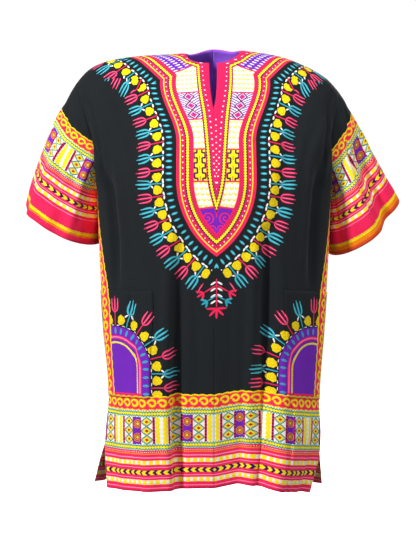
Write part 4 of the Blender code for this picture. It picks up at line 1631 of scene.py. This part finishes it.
    def lozenges(self, board: Board, room: Field, beside: Field, up: Field) -> None:
        """The block of lozenges, the third up."""
        level = self.block_foot + self.block_height * 2.5
        block = room * up.near(level, self.block_height / 2)
        lozenge = beside * 0.9 + (up - level).repeat(self.block_height / 3).size()
        board.lay(block, INKS.white)
        board.lay_all(lozenge, block, ((10.6, INKS.plum), (7.8, INKS.pale), (6.6, INKS.white)))
        board.lay_all(lozenge, block, ((5.6, INKS.purple), (3.5, INKS.pink)))
        wave = (up - beside * 0.5).repeat(4.6).size()
        board.lay(block * (lozenge > 11.2) * (wave < 1.15), INKS.purple)

    def steps(self, board: Board, room: Field, beside: Field, up: Field) -> None:
        """The block of stepped keys, the first up."""
        half = self.block_height / 2
        block = room * up.near(self.block_foot + half, half)
        board.lay(block, INKS.yellow)
        upright = (beside - board.between(up.wave(17.0) > 0.0, 4.2, 9.4)).size() < 1.5
        level = up.repeat(8.5).near(0.0, 1.5) * beside.near(6.8, 3.2)
        board.lay(block * (upright | level), INKS.plum)
        board.lay(block * (beside < 0.9) * (up.repeat(17.0).size() < 3.5), INKS.ochre)

    def curls(self, board: Board, foot: Field, aside: Field, up: Field) -> None:
        """Pairs of curls on the purple foot of the yoke."""
        board.lay(foot, INKS.purple)
        for x, y, tight, size in ((15.0, 461.0, 6.4, 11.0), (8.0, 441.5, 5.0, 7.4)):
            far = board.length(aside - x, up - y)
            turn = board.turn_of(up - y, aside - x) * (tight / (2 * math.pi))
            line = (far - turn).repeat(tight).size() < 1.05
            board.lay(foot * line * (far < size), INKS.pink)
        board.lay(foot * (aside < 0.9) * up.near(470.0, 8.0), INKS.pink)
        board.lay(foot * (aside * 0.8 + up < 432.0), INKS.pink)

    def top_leaves(self, board: Board, top: Field, aside: Field, up: Field) -> None:
        """Slanting rows of white leaves on the purple top of the yoke."""
        board.lay(top, INKS.purple)
        along, across = aside * 0.74 + up * 0.67, up * 0.74 - aside * 0.67
        leaves = board.leaf(along.repeat(7.4), across.repeat(12.6), (0.0, 0.0), 24.0, (1.5, 4.7))
        board.lay(top * leaves, INKS.white)

    def centre_strip(self, board: Board, inner: Field, across: Field, up: Field) -> None:
        """The strip round the slit and neck: a beaded yellow line, purple, and pink with rows of dots."""
        for limit, colour in ((4.8, INKS.rose), (3.8, INKS.plum), (-3.6, INKS.rose)):
            board.lay(inner < limit, colour)
        board.beads(inner, up, self.bead_pitch, (2.05, 0.75))
        shown = up > self.dots_from
        board.lay(board.disc(up.repeat(self.dot_pitch / 2), inner + 5.4, 0.8, 0.8) * shown, INKS.purple)
        board.lay(board.disc(up.repeat(self.dot_pitch), inner + 8.6, 1.3, 1.3) * shown, INKS.white)
        below_slit = up.near(570.0, 68.0) * (inner < -11.0)
        own = (up + self.dot_pitch / 2).repeat(self.dot_pitch)
        board.lay(board.disc(own, across - self.centre, 1.2, 1.2) * below_slit, INKS.white)


@dataclass
class LowerPrint:
    """The print of the lower body and the pockets, on the flat cut in millimetres."""

    groups: PrintGroups
    border_scale: float = 1.02
    round_aside: float = 182.0
    round_level: float = 208.0
    round_radius: float = 72.0
    quarter_round: float = 113.0
    round_fringe: float = 50.0
    round_line: float = 54.0
    round_beads: float = 45.0
    round_foot: Vec2 = (165.5, 2.0)
    round_dashes: float = 64.5
    strip_middle: float = 210.0
    strip_lean: Vec2 = (320.0, 0.24)
    strip_scale: float = 0.62
    strip_top: float = 590.0
    hem_stitches: float = 14.5
    pocket_stitches: Vec2 = (336.5, 341.5)

    def draw(self, board: Board, across: Field, up: Field) -> None:
        """Lays black, a half round on each side, the hem border and the curls up both sides."""
        self.half_round(board, across, up)
        middle = (up - self.strip_lean[0]).most(0.0) * self.strip_lean[1] + self.strip_middle
        beside = (across.size() - middle) * self.strip_scale
        rings, shown = board.place_group(self.groups.rings, up * self.strip_scale, beside)
        board.lay(shown * (up < self.strip_top), rings)
        border, within = board.place_group(self.groups.border, across, up * self.border_scale)
        board.lay(within, border)
        board.stitch(up.near(self.hem_stitches, STITCH_LINE), across)

    def draw_pocket(self, board: Board, across: Field, up: Field) -> None:
        """Lays a pocket, whose print goes on from the front's, with the stitches of its turned top."""
        self.draw(board, across, up)
        low, high = self.pocket_stitches
        board.stitch(up.near(low, 0.5) | up.near(high, 0.5), across)

    def half_round(self, board: Board, across: Field, up: Field) -> None:
        """The half round on each side, with its own fringe."""
        aside = across.size() - self.round_aside
        above = up - self.round_level
        over = above > 0.0
        far = board.between(over, aside.size(), board.length(aside, above))
        bend = board.turn_of(aside, above.most(0.0001)) * self.round_radius
        along = board.between(over, aside.sign() * self.quarter_round - above * aside.sign(), bend)
        grown = board.between(over, 1.0, far * (1.0 / self.round_radius))
        board.paint = board.choose(far < self.round_radius, INKS.black, INKS.purple)
        colour, mask = board.place_group(self.groups.fringe, along + 12.0, far - self.round_fringe, grown)
        board.lay(mask * (far > self.round_radius + 1.5), colour)
        board.lay(board.disc(along.repeat(14.0) * grown, far - self.round_dashes, 2.0, 5.2), INKS.teal)
        board.lay(far.near(self.round_line, 2.9), INKS.pink)
        board.lay(far.near(self.round_line, 1.0), INKS.pale)
        board.beads(far - self.round_beads, along, 4.0, (1.5, 0.4))
        board.lay(up.near(*self.round_foot) * (far < 56.0), INKS.pink)


@dataclass
class SleevePrint:
    """The print of a sleeve: its border runs evenly above a plain wide hem band with a ragged edge."""

    groups: PrintGroups
    side: Side
    border_foot: float = 37.0
    scale: float = 0.82
    starts: dict[Side, float] = field(default_factory=lambda: {Side.LEFT: -395.0, Side.RIGHT: -466.0})
    edge_level: float = 22.0
    raggedness: float = 6.0
    stitches: float = 18.0

    def draw(self, board: Board, across: Field, up: Field) -> None:
        """Lays the sleeve's colours."""
        left = self.side is Side.LEFT
        level = (up - self.border_foot) * (1.0 / self.scale)
        run = across * self.scale + self.starts[self.side]
        border, within = board.place_group(self.groups.border, run, level)
        board.paint = board.choose(within, INKS.black, border)
        board.lay(level < 2.0, INKS.pink)
        streaks = board.noise(across * 0.9, up * 0.06, 1.0, 2.0, "3D") - 0.5
        ragged = up - self.border_foot + self.edge_level + streaks * self.raggedness
        board.lay(ragged.near(0.2, 4.4), INKS.orange)
        board.lay(ragged.near(2.2, 2.4), INKS.yellow)
        board.lay(ragged < -4.0, INKS.pink if left else INKS.orange)
        board.lay(ragged < -7.5, INKS.pink if left else INKS.ember)
        board.stitch(up.near(self.stitches, STITCH_LINE), across)


def draw_facing(board: Board, across: Field, up: Field) -> None:
    """Lays plain purple with a faint lighter check of its threads."""
    board.paint = board.choose(across.repeat(3.0).size() < 0.5, INKS.violet, INKS.deep_violet)


def cut_area(net: Net) -> float:
    """The area of a net's flat cut, in square millimetres."""
    first = net.flat[1:, 1:] - net.flat[:-1, :-1]
    second = net.flat[1:, :-1] - net.flat[:-1, 1:]
    return float(0.5 * np.abs(first[..., 0] * second[..., 1] - first[..., 1] * second[..., 0]).sum())


def split_finishes(piece: bpy.types.Object) -> None:
    """Gives the faces of a body panel the yoke's finish, or the lower body's below and beside it."""
    mesh = piece.data
    flat = np.zeros(len(mesh.loops) * 2, np.float32)
    mesh.uv_layers["flat_cut"].uv.foreach_get("vector", flat)
    corners = np.zeros(len(mesh.loops), int)
    mesh.loops.foreach_get("vertex_index", corners)
    places = np.zeros((len(mesh.vertices), 2))
    places[corners] = flat.reshape(-1, 2) / MM
    finishes = np.zeros(len(mesh.polygons), np.int32)
    for face in mesh.polygons:
        across, up = places[list(face.vertices)].mean(axis=0)
        inside = any(up > foot and abs(across) < half for foot, half in YOKE_AREAS)
        finishes[face.index] = 0 if inside else 1
    mesh.polygons.foreach_set("material_index", finishes)


# The shirt's pieces


@dataclass
class Shirt:
    """All the pieces of the shirt."""

    cloth: Cloth = field(default_factory=Cloth)
    groups: PrintGroups = field(default_factory=PrintGroups)
    cotton: Cotton = Cotton()
    pocket_columns: dict[Side, tuple[int, int]] = field(
        default_factory=lambda: {Side.LEFT: (7, 16), Side.RIGHT: (8, 17)}
    )
    pocket_lift: float = 1.3
    facing_lift: float = 1.4
    facing_column: int = 6
    facing_rows: int = 6
    seam_joined: float = 0.02
    facing_joined: float = 0.05
    lower_print: LowerPrint = field(init=False)
    yoke_finish: bpy.types.Material = field(init=False)
    lower_finish: bpy.types.Material = field(init=False)

    def __post_init__(self) -> None:
        """Makes the finishes that both panels share."""
        self.lower_print = LowerPrint(self.groups)
        self.yoke_finish = self.finish("printed cotton, yoke", YokePrint(self.groups).draw)
        self.lower_finish = self.finish("printed cotton, lower body", self.lower_print.draw)

    def build(self) -> list[bpy.types.Object]:
        """Builds every piece in the order in which it is sewn."""
        pieces = [self.panel(panel) for panel in Panel]
        pieces.extend(self.sleeve(side) for side in Side)
        pieces.extend(self.pocket(side) for side in Side)
        pieces.append(self.neck_facing())
        for piece in pieces:
            LOG.info("%s: %d faces", piece.name, len(piece.data.polygons))
        return pieces

    def finish(self, name: str, draw: Draw) -> bpy.types.Material:
        """A printed cotton finish whose colours a drawing function lays."""
        return self.cotton.finish(name, draw, self.groups)

    def settle(self, piece: bpy.types.Object, node: str, nets: Sequence[Net]) -> bpy.types.Object:
        """Rides a finished piece on the body, hides its imported part, and logs the size and area of its flat
        cut.
        """
        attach(piece, "root")
        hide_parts(node)
        flats = np.concatenate([net.flat.reshape(-1, 2) for net in nets])
        width, length = (flats.max(axis=0) - flats.min(axis=0)) * MM
        area = sum(cut_area(net) for net in nets) * MM * MM
        LOG.info("%s: cut %.0f by %.0f mm, %.4f square metres", piece.name, width / MM, length / MM, area)
        return piece

    def panel(self, panel: Panel) -> bpy.types.Object:
        """The front or the back of the body."""
        nets = []
        for side in Side:
            outward = side.value if panel is Panel.FRONT else -side.value
            nets.append((self.cloth.nets[panel, side].creased(panel.value, outward), outward < 0))
        piece = mesh_piece(f"cloth_{panel.value}", nets, self.seam_joined, self.cloth.wall)
        piece.data.materials.append(self.yoke_finish)
        piece.data.materials.append(self.lower_finish)
        split_finishes(piece)
        return self.settle(piece, panel.value, [net for net, _ in nets])

    def sleeve(self, side: Side) -> bpy.types.Object:
        """One sleeve."""
        name = f"sleeve_{side.word}"
        net = self.cloth.sleeve(side).creased(name, -side.value)
        piece = mesh_piece(f"cloth_{name}", [(net, side.value > 0)], self.seam_joined, self.cloth.wall)
        draw = SleevePrint(self.groups, side).draw
        piece.data.materials.append(self.finish(f"printed cotton, {side.word} sleeve", draw))
        return self.settle(piece, name, [net])

    def pocket(self, side: Side) -> bpy.types.Object:
        """A patch pocket made from the front's own points, moved out."""
        k = self.cloth.fineness
        first = (STRETCHES[0].rows + STRETCHES[1].rows) * k
        last = first + STRETCHES[2].rows * k
        inner, outer = (column * k for column in self.pocket_columns[side])
        net = self.cloth.nets[Panel.FRONT, side].creased(Panel.FRONT.value, side.value)
        lifted = net.points + net_normals(net.points) * side.value * self.pocket_lift
        window = (slice(first, last + 1), slice(inner, outer + 1))
        name = f"pocket_{side.word}"
        patch = Net(lifted[window], net.flat[window])
        piece = mesh_piece(f"cloth_{name}", [(patch, side.value < 0)], 0.0, self.cloth.wall)
        draw = self.lower_print.draw_pocket
        piece.data.materials.append(self.finish(f"printed cotton, {side.word} pocket", draw))
        return self.settle(piece, name, [patch])

    def neck_facing(self) -> bpy.types.Object:
        """The facing inside the back of the neck, made from the back's own points, moved in."""
        k = self.cloth.fineness
        window = (slice(-self.facing_rows * k - 1, None), slice(0, self.facing_column * k + 1))
        nets = []
        for side in Side:
            net = self.cloth.nets[Panel.BACK, side]
            moved = net.points + net_normals(net.points) * side.value * self.facing_lift
            nets.append((Net(moved[window], net.flat[window]), side.value > 0))
        piece = mesh_piece("cloth_neck_facing", nets, self.facing_joined, self.cloth.wall)
        piece.data.materials.append(self.finish("purple cotton facing", draw_facing))
        return self.settle(piece, "neck_facing", [net for net, _ in nets])


# The picture


@dataclass(frozen=True)
class Lamp:
    """A square lamp: its place, its power in watts and its width."""

    name: str
    place: tuple[float, float, float]
    energy: float
    size: float


LAMPS = (
    Lamp("key", (-2.7, -2.4, 1.1), 148.0, 0.4),
    Lamp("fill", (3.0, -1.6, 0.1), 32.0, 1.4),
    Lamp("front", (0.5, -3.0, 0.7), 8.0, 0.8),
    Lamp("top", (0.3, -0.9, 2.1), 34.0, 1.2),
    Lamp("behind", (1.2, 3.4, 0.9), 95.0, 1.2),
)


@dataclass
class Studio:
    """The pale floor, the soft lights and the camera at the photograph's angle."""

    distance: float = 3.5
    pixel: float = 0.00175
    centre: Vec2 = (-0.011375, -0.375375)
    sensor: float = 24.0
    lamps_aim: tuple[float, float, float] = (0.0, 0.0, -0.35)
    soft_light: float = 0.15
    seen_light: float = 1.05
    floor_z: float = -0.95
    floor_size: float = 24.0
    floor_grey: float = 0.9

    def build(self) -> None:
        """Builds the floor, the lights and the camera."""
        bpy.context.scene.view_settings.view_transform = "Standard"
        self.camera()
        self.world()
        self.lights()
        self.floor()

    def camera(self) -> None:
        """A camera straight in front, framed as the photograph."""
        data = bpy.data.cameras.new("camera")
        data.sensor_fit = "VERTICAL"
        data.sensor_height = self.sensor
        data.lens = self.sensor * self.distance / (PHOTO_HEIGHT * self.pixel)
        camera = bpy.data.objects.new("camera", data)
        camera.location = (self.centre[0], -self.distance, self.centre[1])
        camera.rotation_euler = (math.pi / 2, 0.0, 0.0)
        bpy.context.scene.collection.objects.link(camera)
        bpy.context.scene.camera = camera

    def world(self) -> None:
        """A white world, seen at full strength and lighting the cloth softly."""
        world = bpy.data.worlds.new("studio")
        world.use_nodes = True
        tree = world.node_tree
        soft = tree.nodes["Background"]
        seen = tree.nodes.new("ShaderNodeBackground")
        for light, strength in ((soft, self.soft_light), (seen, self.seen_light)):
            light.inputs["Color"].default_value = (1.0, 1.0, 1.0, 1.0)
            light.inputs["Strength"].default_value = strength
        path = tree.nodes.new("ShaderNodeLightPath")
        both = tree.nodes.new("ShaderNodeMixShader")
        tree.links.new(path.outputs["Is Camera Ray"], both.inputs[0])
        tree.links.new(soft.outputs[0], both.inputs[1])
        tree.links.new(seen.outputs[0], both.inputs[2])
        tree.links.new(both.outputs[0], tree.nodes["World Output"].inputs[0])
        bpy.context.scene.world = world

    def lights(self) -> None:
        """Soft lamps in front, on both sides, above and behind."""
        for lamp in LAMPS:
            data = bpy.data.lights.new(lamp.name, "AREA")
            data.energy = lamp.energy
            data.size = lamp.size
            light = bpy.data.objects.new(lamp.name, data)
            light.location = lamp.place
            aim = Vector(self.lamps_aim) - Vector(lamp.place)
            light.rotation_euler = aim.to_track_quat("-Z", "Y").to_euler()
            bpy.context.scene.collection.objects.link(light)

    def floor(self) -> None:
        """A wide flat white floor under the shirt, which shines a little and doesn't light the cloth."""
        bpy.ops.object.select_all(action="DESELECT")
        bpy.ops.mesh.primitive_plane_add(size=self.floor_size, location=(0.0, 0.0, self.floor_z))
        floor = bpy.context.active_object
        floor.name = "floor"
        bpy.ops.object.transform_apply(location=True, rotation=True, scale=True)
        material = bpy.data.materials.new("floor")
        material.use_nodes = True
        surface = material.node_tree.nodes["Principled BSDF"]
        surface.inputs["Base Color"].default_value = (self.floor_grey,) * 3 + (1.0,)
        surface.inputs["Roughness"].default_value = 0.9
        surface.inputs["Emission Color"].default_value = (1.0, 1.0, 1.0, 1.0)
        surface.inputs["Emission Strength"].default_value = self.seen_light
        floor.visible_diffuse = False
        floor.data.materials.append(material)


def main() -> None:
    """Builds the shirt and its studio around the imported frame."""
    logging.basicConfig(level=logging.INFO, format="%(message)s")
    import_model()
    Studio().build()
    Shirt().build()


if __name__ == "__main__":
    main()
